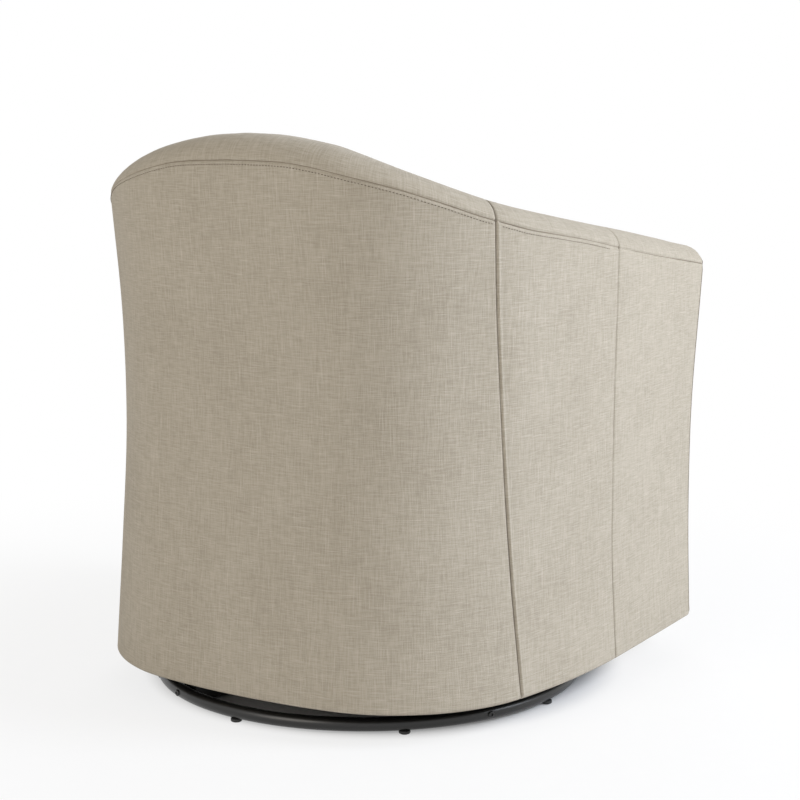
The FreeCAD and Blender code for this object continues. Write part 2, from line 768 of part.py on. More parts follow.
def cushion_form(inset):
    """Boxed cushion with drawn-in sides, soft edges and a crown, or its inside at a distance within it."""
    front = front_y(CUSHION_Z) + CUSHION_SETBACK
    outline = inside_outline(CUSHION_CLEARANCE, CUSHION_Z, front, CUSHION_CORNER)
    middle = (max(p.y for p in outline) + front) / 2
    half_x = max(p.x for p in outline)
    half_y = middle - front
    low = CUSHION_Z + inset
    high = CUSHION_TOP - CUSHION_CROWN
    top = CUSHION_TOP - inset
    levels = ((low, 12.0), (low + 4, 4.0), (low + 12, 1.0), ((low + high) / 2, 4.0), (high - 6, 0.0),
              (high + 0.2 * (top - high), 6.0), (high + 0.55 * (top - high), 32.0), (top, 110.0))
    rings = []
    for z, ease in levels:
        across = 1 - (ease + inset) / half_x
        along = 1 - (ease + inset) / half_y
        rings.append([Vector(p.x * across, middle + (p.y - middle) * along, z) for p in outline])
    return facets(rings)


def cushion():
    outside = cushion_form(0.0)
    skin = outside.cut(cushion_form(CUSHION_COVER))
    reach = HALF_WIDTH + 50
    under = CUSHION_Z + CUSHION_PANEL_EDGE
    over = CUSHION_TOP - CUSHION_CROWN - CUSHION_PANEL_EDGE / 2
    save("seat_cushion_bottom_panel", skin.common(box(-reach, reach, -reach - 50, reach, CUSHION_Z - 1, under)))
    save("seat_cushion_boxing", skin.common(box(-reach, reach, -reach - 50, reach, under + 0.1, over)))
    save("seat_cushion_top_panel", skin.common(box(-reach, reach, -reach - 50, reach, over + 0.1, CUSHION_TOP + 1)))
    save("seat_cushion_foam", cushion_form(CUSHION_COVER + GAP))


def dust_cover():
    hole = PLATE_SIDE / 2 + DUST_CLEARANCE
    sheet = plan_prism(rim_depth, FRAME_FRONT, RIM_Z - GAP / 2 - DUST_THICKNESS, RIM_Z - GAP / 2)
    save("dust_cover", sheet.cut(box(-hole, hole, -hole, hole, 0, RIM_TOP)))


def swivel_rails():
    inside = plan_prism(COVER + GAP + RIM_WIDTH + GAP / 3, FRAME_FRONT - RIM_WIDTH - GAP / 3, RIM_Z,
                        RIM_Z + SWIVEL_RAIL_HEIGHT)
    near = SWIVEL_RAIL_X - SWIVEL_RAIL_WIDTH / 2
    rail = box(near, near + SWIVEL_RAIL_WIDTH, -FRONT_REACH, BACK_REACH, RIM_Z, RIM_Z + SWIVEL_RAIL_HEIGHT)
    rail = rail.common(inside)
    for x, y in upper_holes():
        rail = rail.cut(disc(BOLT_RADIUS + GAP / 3, RIM_Z - 1, RIM_Z + BOLT_LENGTH, x, y))
    save_pair("swivel_rail", rail)


# Base
def base_ring():
    """Round bar bent to a ring, drawn with flat sides, with a hole for each screw."""
    corner = RING_TUBE / 2 / math.cos(math.pi / RING_SIDES)
    turns = [2 * math.pi * (k + 0.5) / RING_SIDES for k in range(RING_SIDES)]
    rings = []
    for k in range(RING_STEPS):
        x, y = around(ARM_TURN + 2 * math.pi * (k + 0.5) / RING_STEPS, 1.0)
        rings.append([Vector(x * (RING_RADIUS + corner * math.cos(a)), y * (RING_RADIUS + corner * math.cos(a)),
                             RING_Z + corner * math.sin(a)) for a in turns])
    ring = facets(rings, True)
    for angle in arm_angles():
        hole = rounded(RING_SCREW_RADIUS + JOINT_GAP, RING_RADIUS - RING_TUBE, RING_RADIUS + RING_TUBE)
        ring = ring.cut(laid_out(hole, angle))
    save("base_ring", ring)


def laid_out(upright, angle):
    """Turn a piece that stands on the axis so that it points outward at the height of the ring."""
    upright.rotate(Vector(0, 0, 0), Vector(1, 0, 0), 90)
    upright.rotate(Vector(0, 0, 0), Vector(0, 0, 1), math.degrees(angle))
    upright.translate(Vector(0, 0, RING_Z))
    return upright


def cross_arms():
    """Two tubes that cross inside the ring."""
    half = ARM_TUBE_WIDTH / 2
    wall = ARM_TUBE_WALL
    turn = math.degrees(ARM_TURN) - 90
    tubes = []
    cores = []
    for k in range(2):
        tube = box(-RING_RADIUS, RING_RADIUS, -half, half, GLIDE_HEIGHT, ARM_TOP)
        core = box(-RING_RADIUS, RING_RADIUS, -half + wall, half - wall, GLIDE_HEIGHT + wall, ARM_TOP - wall)
        for piece, group in ((tube, tubes), (core, cores)):
            piece.rotate(Vector(0, 0, 0), Vector(0, 0, 1), turn + 90 * k)
            group.append(piece)
    cross = tubes[0].fuse(tubes[1]).cut(cores[0].fuse(cores[1]))
    reach = RING_RADIUS - RING_TUBE / 2 - 2 * JOINT_GAP
    half_step = math.pi / RING_STEPS
    cross = cross.common(rounded(reach, 0, ARM_TOP + 1, 0, 0, RING_STEPS, ARM_TURN - math.pi / 2 + half_step))
    cross = cross.cut(disc(EYELET_FLANGE + GAP, ARM_TOP - wall - 1, ARM_TOP + 1))
    for x, y in lower_holes():
        cross = cross.cut(disc(BOLT_RADIUS + GAP, ARM_TOP - wall - 1, ARM_TOP + 1, x, y))
    save("base_cross_arms", cross)


def ring_screws():
    """Cap screws through the ring into the ends of the cross arms."""
    screws = []
    face = RING_RADIUS + RING_TUBE / 2 + JOINT_GAP
    for angle in arm_angles():
        screw = rounded(RING_SCREW_HEAD, face, face + RING_SCREW_HEAD_HEIGHT)
        screw = screw.fuse(rounded(RING_SCREW_RADIUS, face - RING_SCREW_LENGTH, face))
        screws.append(laid_out(screw, angle))
    save("ring_screws", Part.makeCompound(screws))


def base_glides():
    """Buttons with eased edges under the ring, seated against the bar."""
    glides = []
    for k in range(GLIDE_COUNT):
        x, y = around(BASE_TURN + 2 * math.pi * k / GLIDE_COUNT, RING_RADIUS)
        rings = []
        for radius, z in ((GLIDE_RADIUS - GLIDE_EASE, 0.0), (GLIDE_RADIUS, GLIDE_EASE),
                          (GLIDE_RADIUS, GLIDE_HEIGHT - JOINT_GAP)):
            turns = [2 * math.pi * j / ROUND_SIDES for j in range(ROUND_SIDES)]
            rings.append([Vector(x + radius * math.cos(a), y + radius * math.sin(a), z) for a in turns])
        glides.append(facets(rings))
    save("base_glides", Part.makeCompound(glides))


def arm_angles():
    return [ARM_TURN + math.pi / 2 * k for k in range(4)]


def lower_holes():
    reach = (PLATE_SIDE / 2 - BOLT_HOLE_INSET) * math.sqrt(2)
    return [around(angle, reach) for angle in arm_angles()]


def upper_holes():
    reach = PLATE_SIDE / 2 - BOLT_HOLE_INSET
    return [(x, y) for x in (-reach, reach) for y in (-reach, reach)]


def plate_blank(low, high):
    half = PLATE_SIDE / 2
    inner = half - PLATE_CORNER
    corners = ((-half, -inner), (-inner, -half), (inner, -half), (half, -inner),
               (half, inner), (inner, half), (-inner, half), (-half, inner))
    points = [Vector(x, y, low) for x, y in corners]
    return prism(Part.makePolygon(points + [points[0]]), Vector(0, 0, high - low))


def race(low, high):
    """Flat band of a plate that the balls run on."""
    band = rounded(RACE_RADIUS + RACE_WIDTH / 2, low, high, sides=RACE_SIDES)
    return band.cut(rounded(RACE_RADIUS - RACE_WIDTH / 2, low - 1, high + 1, sides=RACE_SIDES))


def ball(x, y):
    """Ball as bands of flat faces."""
    rings = []
    for band in range(1, BALL_BANDS):
        tilt = math.pi * band / BALL_BANDS
        r = BALL_RADIUS * math.sin(tilt)
        z = BALL_Z - BALL_RADIUS * math.cos(tilt)
        turns = [2 * math.pi * k / BALL_SIDES for k in range(BALL_SIDES)]
        rings.append([Vector(x + r * math.cos(a), y + r * math.sin(a), z) for a in turns])
    return facets(rings)


def swivel_bearing():
    """Two pressed plates with grooved bands, the balls and cage between them, and the eyelet that holds them."""
    lower = plate_blank(ARM_TOP, ARM_TOP + PLATE_THICKNESS)
    lower.rotate(Vector(0, 0, 0), Vector(0, 0, 1), math.degrees(ARM_TURN) - 45)
    for x, y in lower_holes():
        lower = lower.cut(disc(BOLT_RADIUS + GAP, 0, RIM_Z, x, y))
    lower = lower.fuse(race(ARM_TOP + PLATE_THICKNESS - 1, BALL_Z - BALL_RADIUS - BALL_CLEARANCE)).removeSplitter()
    save("swivel_lower_plate", lower.cut(disc(EYELET_RADIUS + JOINT_GAP, 0, RIM_Z)))

    upper = plate_blank(RIM_Z - PLATE_THICKNESS, RIM_Z)
    for x, y in upper_holes():
        upper = upper.cut(disc(BOLT_RADIUS + GAP, 0, RIM_TOP, x, y))
    upper = upper.fuse(race(BALL_Z + BALL_RADIUS + BALL_CLEARANCE, RIM_Z - PLATE_THICKNESS + 1)).removeSplitter()
    save("swivel_upper_plate", upper.cut(disc(EYELET_RADIUS + RUNNING_CLEARANCE, 0, RIM_TOP)))

    low = BALL_Z - CAGE_THICKNESS / 2
    cage = rounded(RACE_RADIUS + CAGE_WIDTH / 2, low, low + CAGE_THICKNESS, sides=RACE_SIDES)
    cage = cage.cut(rounded(RACE_RADIUS - CAGE_WIDTH / 2, 0, RIM_Z, sides=RACE_SIDES))
    balls = []
    for k in range(BALL_COUNT):
        x, y = around(2 * math.pi * k / BALL_COUNT, RACE_RADIUS)
        half = BALL_RADIUS + BALL_CLEARANCE
        cage = cage.cut(box(x - half, x + half, y - half, y + half, 0, RIM_Z))
        balls.append(ball(x, y))
    save("ball_cage", cage)
    save("bearing_balls", Part.makeCompound(balls))

    under = ARM_TOP - EYELET_FLANGE_THICKNESS
    over = RIM_Z + GAP
    sides = 2 * ROUND_SIDES
    eyelet = rounded(EYELET_RADIUS, under, over + EYELET_FLANGE_THICKNESS, sides=sides)
    eyelet = eyelet.fuse(rounded(EYELET_FLANGE, under, ARM_TOP - JOINT_GAP / 2, sides=sides))
    eyelet = eyelet.fuse(rounded(EYELET_FLANGE, over, over + EYELET_FLANGE_THICKNESS, sides=sides))
    eyelet = eyelet.cut(rounded(EYELET_RADIUS - EYELET_WALL, 0, RIM_TOP, sides=sides))
    save("swivel_eyelet", eyelet.removeSplitter())


def hexagon(across, low, high, x, y):
    return rounded(across / math.sqrt(3), low, high, x, y, 6)


def plate_bolts():
    """Hexagon bolts of the two plates: the lower ones have nuts inside the tubes, the upper ones go into the rails."""
    top = ARM_TOP + PLATE_THICKNESS + JOINT_GAP
    nut_top = ARM_TOP - ARM_TUBE_WALL - JOINT_GAP
    lower = []
    for x, y in lower_holes():
        bolt = hexagon(2 * BOLT_HEAD, top, top + BOLT_HEAD_HEIGHT, x, y)
        lower.append(bolt.fuse(rounded(BOLT_RADIUS, nut_top - NUT_HEIGHT - 1, top, x, y)))
        nut = hexagon(2 * BOLT_HEAD, nut_top - NUT_HEIGHT, nut_top, x, y)
        lower.append(nut.cut(rounded(BOLT_RADIUS + JOINT_GAP, 0, ARM_TOP, x, y)))
    save("lower_plate_bolts", Part.makeCompound(lower))
    under = RIM_Z - PLATE_THICKNESS - JOINT_GAP
    upper = []
    for x, y in upper_holes():
        head = hexagon(2 * BOLT_HEAD, under - BOLT_HEAD_HEIGHT, under, x, y)
        upper.append(head.fuse(rounded(BOLT_RADIUS, under, RIM_Z + BOLT_LENGTH - 2, x, y)))
    save("upper_plate_bolts", Part.makeCompound(upper))


def save(name, shape):
    shape.translate(Vector(0, AXIS_Y, 0))
    if len(shape.Solids) == 1:
        shape = shape.Solids[0]
    shape.exportStep("parts/" + name + ".step")
    print(name, len(shape.Solids), "solids", round(shape.Volume / 1000, 1), "cm3", "valid", shape.isValid())


def save_pair(name, left):
    """Save a piece of the sitter's left side and its mirror image."""
    right = mirrored(left)
    save(name + "_left", left)
    save(name + "_right", right)


SIDES = (("left", 1), ("right", -1))

os.makedirs("parts", exist_ok=True)
base_ring()
cross_arms()
ring_screws()
base_glides()
swivel_bearing()
plate_bolts()
bottom_rim()
swivel_rails()
seat_rim()
frame()
arm_boards()
back_webbing()
seat_webbing()
deck()
border()
inside_foams()
roll_foams()
arm_facings()
outside_covers()
roll_covers()
inside_covers()
dust_cover()
cushion()
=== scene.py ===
import math

import bmesh
import bpy
from mathutils import Matrix, Vector, noise
from mathutils.bvhtree import BVHTree


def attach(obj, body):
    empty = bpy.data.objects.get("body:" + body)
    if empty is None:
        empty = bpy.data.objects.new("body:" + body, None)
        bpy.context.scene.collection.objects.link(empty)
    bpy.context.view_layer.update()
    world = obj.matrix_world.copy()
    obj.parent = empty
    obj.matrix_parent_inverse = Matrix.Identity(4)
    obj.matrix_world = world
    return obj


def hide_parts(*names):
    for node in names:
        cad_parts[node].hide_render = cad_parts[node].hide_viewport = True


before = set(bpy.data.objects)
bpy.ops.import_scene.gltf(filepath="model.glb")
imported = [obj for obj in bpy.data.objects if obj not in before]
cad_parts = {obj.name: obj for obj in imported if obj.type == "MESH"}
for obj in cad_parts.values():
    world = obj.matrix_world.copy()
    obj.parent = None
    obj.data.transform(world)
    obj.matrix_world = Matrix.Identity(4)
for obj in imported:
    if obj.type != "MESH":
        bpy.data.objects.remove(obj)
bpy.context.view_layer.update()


# The plan of the chair: the hem is a shallow arc across the back, two tight arcs round the corners and two
# nearly straight sides, all tangent. It is the line that the bottom board is sawn to, and every cover hangs
# from it. A place on the wall is a distance along the hem, a depth inside it and a height.
AXIS_Y = 0.03825
BACK_REACH = 0.334
FRONT_REACH = 0.369
HALF_WIDTH = 0.3655
BACK_RADIUS = 0.965
CORNER_RADIUS = 0.239
SIDE_RADIUS = 1.136
CORNER_END = math.radians(78.1)
SIDE_END = math.radians(91.65)
HEM_Z = 0.045


def plan_legs():
    """Arcs of the hem as centre, radius, first heading and last heading, from the middle of the back."""
    reach = HALF_WIDTH - SIDE_RADIUS + (SIDE_RADIUS - CORNER_RADIUS) * math.sin(CORNER_END)
    back_end = math.asin(reach / (BACK_RADIUS - CORNER_RADIUS))
    legs = []
    centre = Vector((0.0, BACK_REACH - BACK_RADIUS))
    radius = BACK_RADIUS
    first = 0.0
    for last, following in ((back_end, CORNER_RADIUS), (CORNER_END, SIDE_RADIUS), (SIDE_END, SIDE_RADIUS)):
        legs.append((centre, radius, first, last))
        centre = centre + (radius - following) * Vector((math.sin(last), math.cos(last)))
        radius = following
        first = last
    return legs


LEGS = plan_legs()
SIDE_FOOT = LEGS[2][0] + SIDE_RADIUS * Vector((math.sin(SIDE_END), math.cos(SIDE_END)))
CURVED_RUN = sum(radius * (last - first) for centre, radius, first, last in LEGS)
HALF_HEM = CURVED_RUN + (SIDE_FOOT.y + FRONT_REACH) / math.sin(SIDE_END)


def hem(s):
    """Point of the hem at the distance s from the middle of the back, its heading and its side."""
    side = -1.0 if s < 0 else 1.0
    rest = abs(s)
    for centre, radius, first, last in LEGS:
        if rest <= radius * (last - first):
            turn = first + rest / radius
            return side * (centre.x + radius * math.sin(turn)), centre.y + radius * math.cos(turn), turn, side
        rest -= radius * (last - first)
    x = SIDE_FOOT.x + rest * math.cos(SIDE_END)
    return side * x, SIDE_FOOT.y - rest * math.sin(SIDE_END), SIDE_END, side


def place(s, depth, z):
    x, y, turn, side = hem(s)
    return Vector((x - side * depth * math.sin(turn), y - depth * math.cos(turn) + AXIS_Y, z))


def eased(knots, values, x):
    """Smooth curve through values at knots."""
    x = min(max(x, knots[0]), knots[-1])
    i = 0
    while i < len(knots) - 2 and x > knots[i + 1]:
        i += 1

    def slope(k):
        low = max(k - 1, 0)
        high = min(k + 1, len(knots) - 1)
        return (values[high] - values[low]) / (knots[high] - knots[low])

    h = knots[i + 1] - knots[i]
    u = (x - knots[i]) / h
    level = values[i] * (2 * u ** 3 - 3 * u ** 2 + 1) + values[i + 1] * (3 * u ** 2 - 2 * u ** 3)
    return level + h * (slope(i) * (u ** 3 - 2 * u ** 2 + u) + slope(i + 1) * (u ** 3 - u ** 2))


def step(low, high, x):
    u = min(max((x - low) / (high - low), 0.0), 1.0)
    return u * u * (3 - 2 * u)


# The outside of the wall. Foam and wadding over the frame give it a waist at the back and a slight one at the
# sides. Its top line falls from the back to the arms, and the front ends of the arms lean forward as they rise.
CREST_AT = (0.0, 0.059, 0.129, 0.194, 0.253, 0.318, 0.388, 0.477, 0.594, 0.741, 0.924, 1.0)
CREST_Z = (0.801, 0.798, 0.787, 0.7715, 0.7545, 0.735, 0.7155, 0.698, 0.6787, 0.6582, 0.6315, 0.6205)
WAIST_Z = (0.045, 0.21375, 0.3825, 0.55125, 0.72)
BACK_WAIST = (0.0, 0.0125, 0.0225, 0.021, 0.0085)
SIDE_WAIST = (0.0, 0.009, 0.0088, 0.006, 0.0024)
WAIST_ENDS = (math.radians(58.0), math.radians(88.0))
FRONT_LEAN = (0.0, 0.010, 0.014, 0.035, 0.056)
SEAM_AT = (0.0, 0.085, 0.13, 0.17, 0.21, 0.25, 0.29, 0.33, 0.36, 0.41, 0.445, 0.51,
           0.58, 0.67, 0.775, 0.885, 1.0)
SEAM_Z = (0.7668, 0.7640, 0.7575, 0.7490, 0.7400, 0.7300, 0.7180, 0.7055, 0.6960, 0.6835, 0.6755, 0.6655,
          0.6550, 0.6395, 0.6240, 0.6090, 0.5940)
INNER_SEAM_DROP = 0.040
OUTER_SEAM_FRONT_Z = 0.60
INNER_SEAM_FRONT_Z = 0.58


def arm_share(s):
    """0 at the middle of the back and 1 along the arms."""
    u = min(hem(s)[2] / (math.pi / 2), 1.0)
    return u * u * (3 - 2 * u)


def blend(s, back, arm):
    share = arm_share(s)
    return back * (1 - share) + arm * share


def front_y(z):
    return AXIS_Y - FRONT_REACH - eased(WAIST_Z, FRONT_LEAN, z)


def front_s(z):
    """Distance along the hem at which the wall ends, at a height."""
    return HALF_HEM + eased(WAIST_Z, FRONT_LEAN, z) / math.sin(SIDE_END)


ROLL_FRONT = front_s(OUTER_SEAM_FRONT_Z)
INNER_FRONT = front_s(INNER_SEAM_FRONT_Z)


def crest(s):
    return eased(CREST_AT, CREST_Z, abs(s))


def seam_z(s):
    return eased(SEAM_AT, SEAM_Z, abs(s))


def inner_seam_z(s):
    return crest(s) - INNER_SEAM_DROP


def outer_depth(s, z):
    share = step(*WAIST_ENDS, hem(s)[2])
    return eased(WAIST_Z, BACK_WAIST, z) * (1 - share) + eased(WAIST_Z, SIDE_WAIST, z) * share


# The linen-look cloth: a plain weave of greige yarn, with thicker slubs of paler yarn here and there in both
# directions. Its threads run level and upright on each panel, along the places that the panel had when cut.
CLOTH_PITCH = 0.0012
CLOTH_DARK = (0.290, 0.250, 0.192)
CLOTH_MIDDLE = (0.445, 0.394, 0.312)
CLOTH_PALE = (0.590, 0.538, 0.452)


def sums(tree, kind, a, b):
    made = tree.nodes.new("ShaderNodeMath")
    made.operation = kind
    for socket, value in ((0, a), (1, b)):
        if isinstance(value, (int, float)):
            made.inputs[socket].default_value = value
        else:
            tree.links.new(value, made.inputs[socket])
    return made.outputs[0]


def object_spot(tree):
    return tree.nodes.new("ShaderNodeTexCoord").outputs["Object"]


def cut_off(tree, value, low, high, start=0.0):
    """Amount that rises smoothly from a start to 1 between two levels of a value."""
    cut = tree.nodes.new("ShaderNodeMapRange")
    cut.interpolation_type = "SMOOTHSTEP"
    cut.inputs["From Min"].default_value = low
    cut.inputs["From Max"].default_value = high
    cut.inputs["To Min"].default_value = start
    tree.links.new(value, cut.inputs["Value"])
    return cut.outputs[0]


def wave(tree, distance, pitch):
    """Sine wave along a distance."""
    return sums(tree, "SINE", sums(tree, "MULTIPLY", distance, 2 * math.pi / pitch), 0.0)


def speckle(tree, vector, stretch, offset, low, high, detail=2.0):
    """Noise stretched along a direction, cut off below a level and full above another."""
    mapping = tree.nodes.new("ShaderNodeMapping")
    mapping.inputs["Scale"].default_value = stretch
    mapping.inputs["Location"].default_value = (offset, offset * 1.7, offset * 0.3)
    tree.links.new(vector, mapping.inputs["Vector"])
    grain = tree.nodes.new("ShaderNodeTexNoise")
    grain.inputs["Scale"].default_value = 1.0
    grain.inputs["Detail"].default_value = detail
    tree.links.new(mapping.outputs[0], grain.inputs["Vector"])
    return cut_off(tree, grain.outputs[0], low, high)


def mixed(tree, terms):
    """Sum of amounts of several outputs."""
    amount, output = terms[0]
    total = sums(tree, "MULTIPLY", output, amount)
    for amount, output in terms[1:]:
        total = sums(tree, "ADD", total, sums(tree, "MULTIPLY", output, amount))
    return total


def finish(name, rough, specular=0.5, metallic=0.0, sheen=0.0):
    """New material with its plain numbers set on the shader itself."""
    made = bpy.data.materials.new(name)
    made.use_nodes = True
    shader = made.node_tree.nodes["Principled BSDF"]
    shader.inputs["Roughness"].default_value = rough
    shader.inputs["Specular IOR Level"].default_value = specular
    shader.inputs["Metallic"].default_value = metallic
    shader.inputs["Sheen Weight"].default_value = sheen
    shader.inputs["Sheen Roughness"].default_value = 0.5
    return made, made.node_tree, shader


def coloured(tree, shader, tone, *stops):
    """Colour of a surface from a tone between 0 and 1."""
    colours = tree.nodes.new("ShaderNodeValToRGB")
    ramp = colours.color_ramp
    ramp.elements[0].position = stops[0][0]
    ramp.elements[0].color = (*stops[0][1], 1)
    ramp.elements[1].position = stops[-1][0]
    ramp.elements[1].color = (*stops[-1][1], 1)
    for position, colour in stops[1:-1]:
        ramp.elements.new(position).color = (*colour, 1)
    tree.links.new(tone, colours.inputs[0])
    tree.links.new(colours.outputs[0], shader.inputs["Base Color"])


def embossed(tree, shader, height, distance, strength=0.6):
    relief = tree.nodes.new("ShaderNodeBump")
    relief.inputs["Strength"].default_value = strength
    relief.inputs["Distance"].default_value = distance
    tree.links.new(height, relief.inputs["Height"])
    tree.links.new(relief.outputs[0], shader.inputs["Normal"])


def linen(name, dark, middle, pale):
    cloth, tree, shader = finish(name, 0.88, specular=0.22, sheen=0.10)
    flat = tree.nodes.new("ShaderNodeAttribute")
    flat.attribute_name = "flat_place"
    vector = flat.outputs["Vector"]
    parts = tree.nodes.new("ShaderNodeSeparateXYZ")
    tree.links.new(vector, parts.inputs[0])
    across = wave(tree, parts.outputs[0], CLOTH_PITCH)
    up = wave(tree, parts.outputs[1], CLOTH_PITCH)
    weave = sums(tree, "MULTIPLY", across, up)
    level_slub = speckle(tree, vector, (26.0, 760.0, 1.0), 3.1, 0.55, 0.72)
    upright_slub = speckle(tree, vector, (700.0, 22.0, 1.0), 8.7, 0.56, 0.73)
    level_yarn = speckle(tree, vector, (60.0, 1250.0, 1.0), 5.3, 0.30, 0.74)
    upright_yarn = speckle(tree, vector, (1150.0, 50.0, 1.0), 11.9, 0.30, 0.74)
    broad = speckle(tree, vector, (9.0, 9.0, 1.0), 2.3, 0.25, 0.75, 3.0)
    tone = mixed(tree, ((0.19, level_slub), (0.15, upright_slub), (0.22, level_yarn), (0.21, upright_yarn),
                        (0.06, weave), (0.07, broad)))
    tone = sums(tree, "ADD", tone, 0.21)
    coloured(tree, shader, tone, (0.10, dark), (0.46, middle), (0.92, pale))
    height = mixed(tree, ((0.35, weave), (0.9, level_slub), (0.9, upright_slub), (0.6, level_yarn),
                          (0.6, upright_yarn)))
    embossed(tree, shader, height, 0.00025, 0.55)
    return cloth


LINEN = linen("linen_look_cloth", CLOTH_DARK, CLOTH_MIDDLE, CLOTH_PALE)


def piece_of(name, work, *materials):
    """Smooth-shaded object from mesh being worked on."""
    bmesh.ops.recalc_face_normals(work, faces=work.faces)
    mesh = bpy.data.meshes.new(name)
    work.to_mesh(mesh)
    work.free()
    for face in mesh.polygons:
        face.use_smooth = True
    piece = bpy.data.objects.new(name, mesh)
    bpy.context.scene.collection.objects.link(piece)
    for material in materials:
        mesh.materials.append(material)
    return piece


def upholster(piece, nodes, body="seat"):
    """Put a padded piece on its body and in the place of its nodes."""
    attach(piece, body)
    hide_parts(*nodes)


def skin(work, rings, flat=None, closed=False, endless=False, caps=None):
    """Faces through rows of points, each with its place on the flat cloth, or else its place from above. Caps
    close the ends, with their middles drawn in by a distance."""
    layers = work.verts.layers.float_vector
    layer = layers.get("flat_place") or layers.new("flat_place")
    rows = []
    for ring, places in zip(rings, flat or rings):
        row = [work.verts.new(point) for point in ring]
        for vert, spot in zip(row, places):
            vert[layer] = (spot[0], spot[1], 0.0)
        rows.append(row)
    pairs = list(zip(rows, rows[1:]))
    if endless:
        pairs.append((rows[-1], rows[0]))
    for near, far in pairs:
        count = len(near)
        for k in range(count if closed else count - 1):
            n = (k + 1) % count
            work.faces.new((near[k], near[n], far[n], far[k]))
    if caps is not None:
        for row, following in ((rows[0], rows[1]), (rows[-1], rows[-2])):
            centre = sum((v.co for v in row), Vector()) / len(row)
            inward = sum((v.co for v in following), Vector()) / len(following) - centre
            middle = work.verts.new(centre + inward.normalized() * caps)
            middle[layer] = row[0][layer]
            for k in range(len(row)):
                work.faces.new((row[k], row[(k + 1) % len(row)], middle))
    return rows


EDGE_MARKS = (0.0, 0.0007, 0.0015, 0.0024, 0.0034, 0.0046, 0.0062, 0.0085, 0.012)


def crowded(length, parts):
    """Distances along a length, closer together near both ends, where seams draw the cloth in."""
    run = EDGE_MARKS[-1]
    middle = [run + (length - 2 * run) * k / parts for k in range(1, parts)]
    return list(EDGE_MARKS) + middle + [length - m for m in reversed(EDGE_MARKS)]


# The outside back and sides: five panels over wadding, sewn together at upright seams and pulled tight down to
# the bottom board, where they turn under and are stapled. The seam allowance lies to the front of each rear
# seam and shows as a low ridge.
REAR_SEAM_FOOT = 0.430
REAR_SEAM_HEAD = 0.3875
REAR_SEAM_RISE = 0.64
SIDE_SEAM = 0.667
BACK_COLUMNS = 62
SIDE_COLUMNS = 20
WALL_ROWS = 34
LONG_PANEL = 0.5
PANEL_MIDDLE_Z = 0.3
PANEL_TOP_GUESS = 0.69
HEM_RADIUS = 0.006
TURN_UNDER = 0.030
SEAM_SINK = 0.0017
SEAM_WIDTH = 0.0017
RIDGE_RISE = 0.0016
RIDGE_NEAR = (0.0010, 0.0024)
RIDGE_FAR = (0.0038, 0.0060)
HEM_STEPS = 6
HEM_GAP = 0.0003
CLOTH_THICKNESS = 0.0012


def rear_seam(z):
    return REAR_SEAM_FOOT + (REAR_SEAM_HEAD - REAR_SEAM_FOOT) * (z - HEM_Z) / REAR_SEAM_RISE


def side_seam(z):
    return SIDE_SEAM


def valley(distance, sink=SEAM_SINK, width=SEAM_WIDTH):
    """How far cloth is drawn in at a distance from a seam."""
    return sink * math.exp(-(distance / width) ** 2)


def drift(a, b, seed, amount=0.0011):
    """Slight unevenness of tight cloth over wadding."""
    wave = noise.noise(Vector((a * 5.0 + seed, b * 3.2, seed * 0.37)))
    ripple = noise.noise(Vector((a * 16.0 + seed, b * 7.0, 6.1 + seed)))
    return amount * (wave + 0.3 * ripple)


def wall_drift(side, s, z):
    return drift(s, z, 9.0 if side * s > 0 else 3.0)


def outside_panel(name, start, end, ridge, node, side=1):
    """Panel between two upright seams, with its top edge at the seam of the roll."""
    length = end(PANEL_MIDDLE_Z) - start(PANEL_MIDDLE_Z)
    columns = BACK_COLUMNS if length > LONG_PANEL else SIDE_COLUMNS
    rows, flat = [], []
    for mark in crowded(length, columns):
        share = mark / length
        top = PANEL_TOP_GUESS
        for again in range(3):
            top = seam_z(start(top) + share * (end(top) - start(top)))
        row, places = [], []
        foot = HEM_Z + HEM_RADIUS
        for along in crowded(top - foot, WALL_ROWS):
            z = top - along
            s = start(z) + share * (end(z) - start(z))
            rise = wall_drift(side, s, z) - valley(mark) - valley(length - mark) - valley(along)
            if ridge:
                rise += RIDGE_RISE * (step(*RIDGE_NEAR, mark) - step(*RIDGE_FAR, mark))
            row.append(place(side * s, outer_depth(s, z) - rise, z))
            places.append((s, z))
        s = start(HEM_Z) + share * (end(HEM_Z) - start(HEM_Z))
        sunk = valley(mark) + valley(length - mark) - wall_drift(side, s, HEM_Z)
        for k in range(1, HEM_STEPS + 1):
            turn = math.pi / 2 * k / HEM_STEPS
            depth = HEM_RADIUS * (1 - math.cos(turn)) + sunk
            row.append(place(side * s, depth, HEM_Z + HEM_RADIUS * (1 - math.sin(turn))))
            places.append((s, foot - HEM_RADIUS * turn))
        row.append(place(side * s, TURN_UNDER, HEM_Z + HEM_GAP))
        places.append((s, foot - TURN_UNDER))
        rows.append(row)
        flat.append(places)
    work = bmesh.new()
    skin(work, rows, flat)
    panel = piece_of(name, work, LINEN)
    thickness = panel.modifiers.new("cloth_thickness", "SOLIDIFY")
    thickness.thickness = CLOTH_THICKNESS
    upholster(panel, [node])


SIDES = ((1, "left"), (-1, "right"))
outside_panel("outside_back_panel", lambda z: -rear_seam(z), rear_seam, False, "outside_back_cover")
for side, word in SIDES:
    for part, start, end, ridge in (("side", rear_seam, side_seam, True), ("front", side_seam, front_s, False)):
        names = ["outside_%s_%s_%s" % (part, kind, word) for kind in ("panel", "cover")]
        outside_panel(names[0], start, end, ridge, names[1], side)


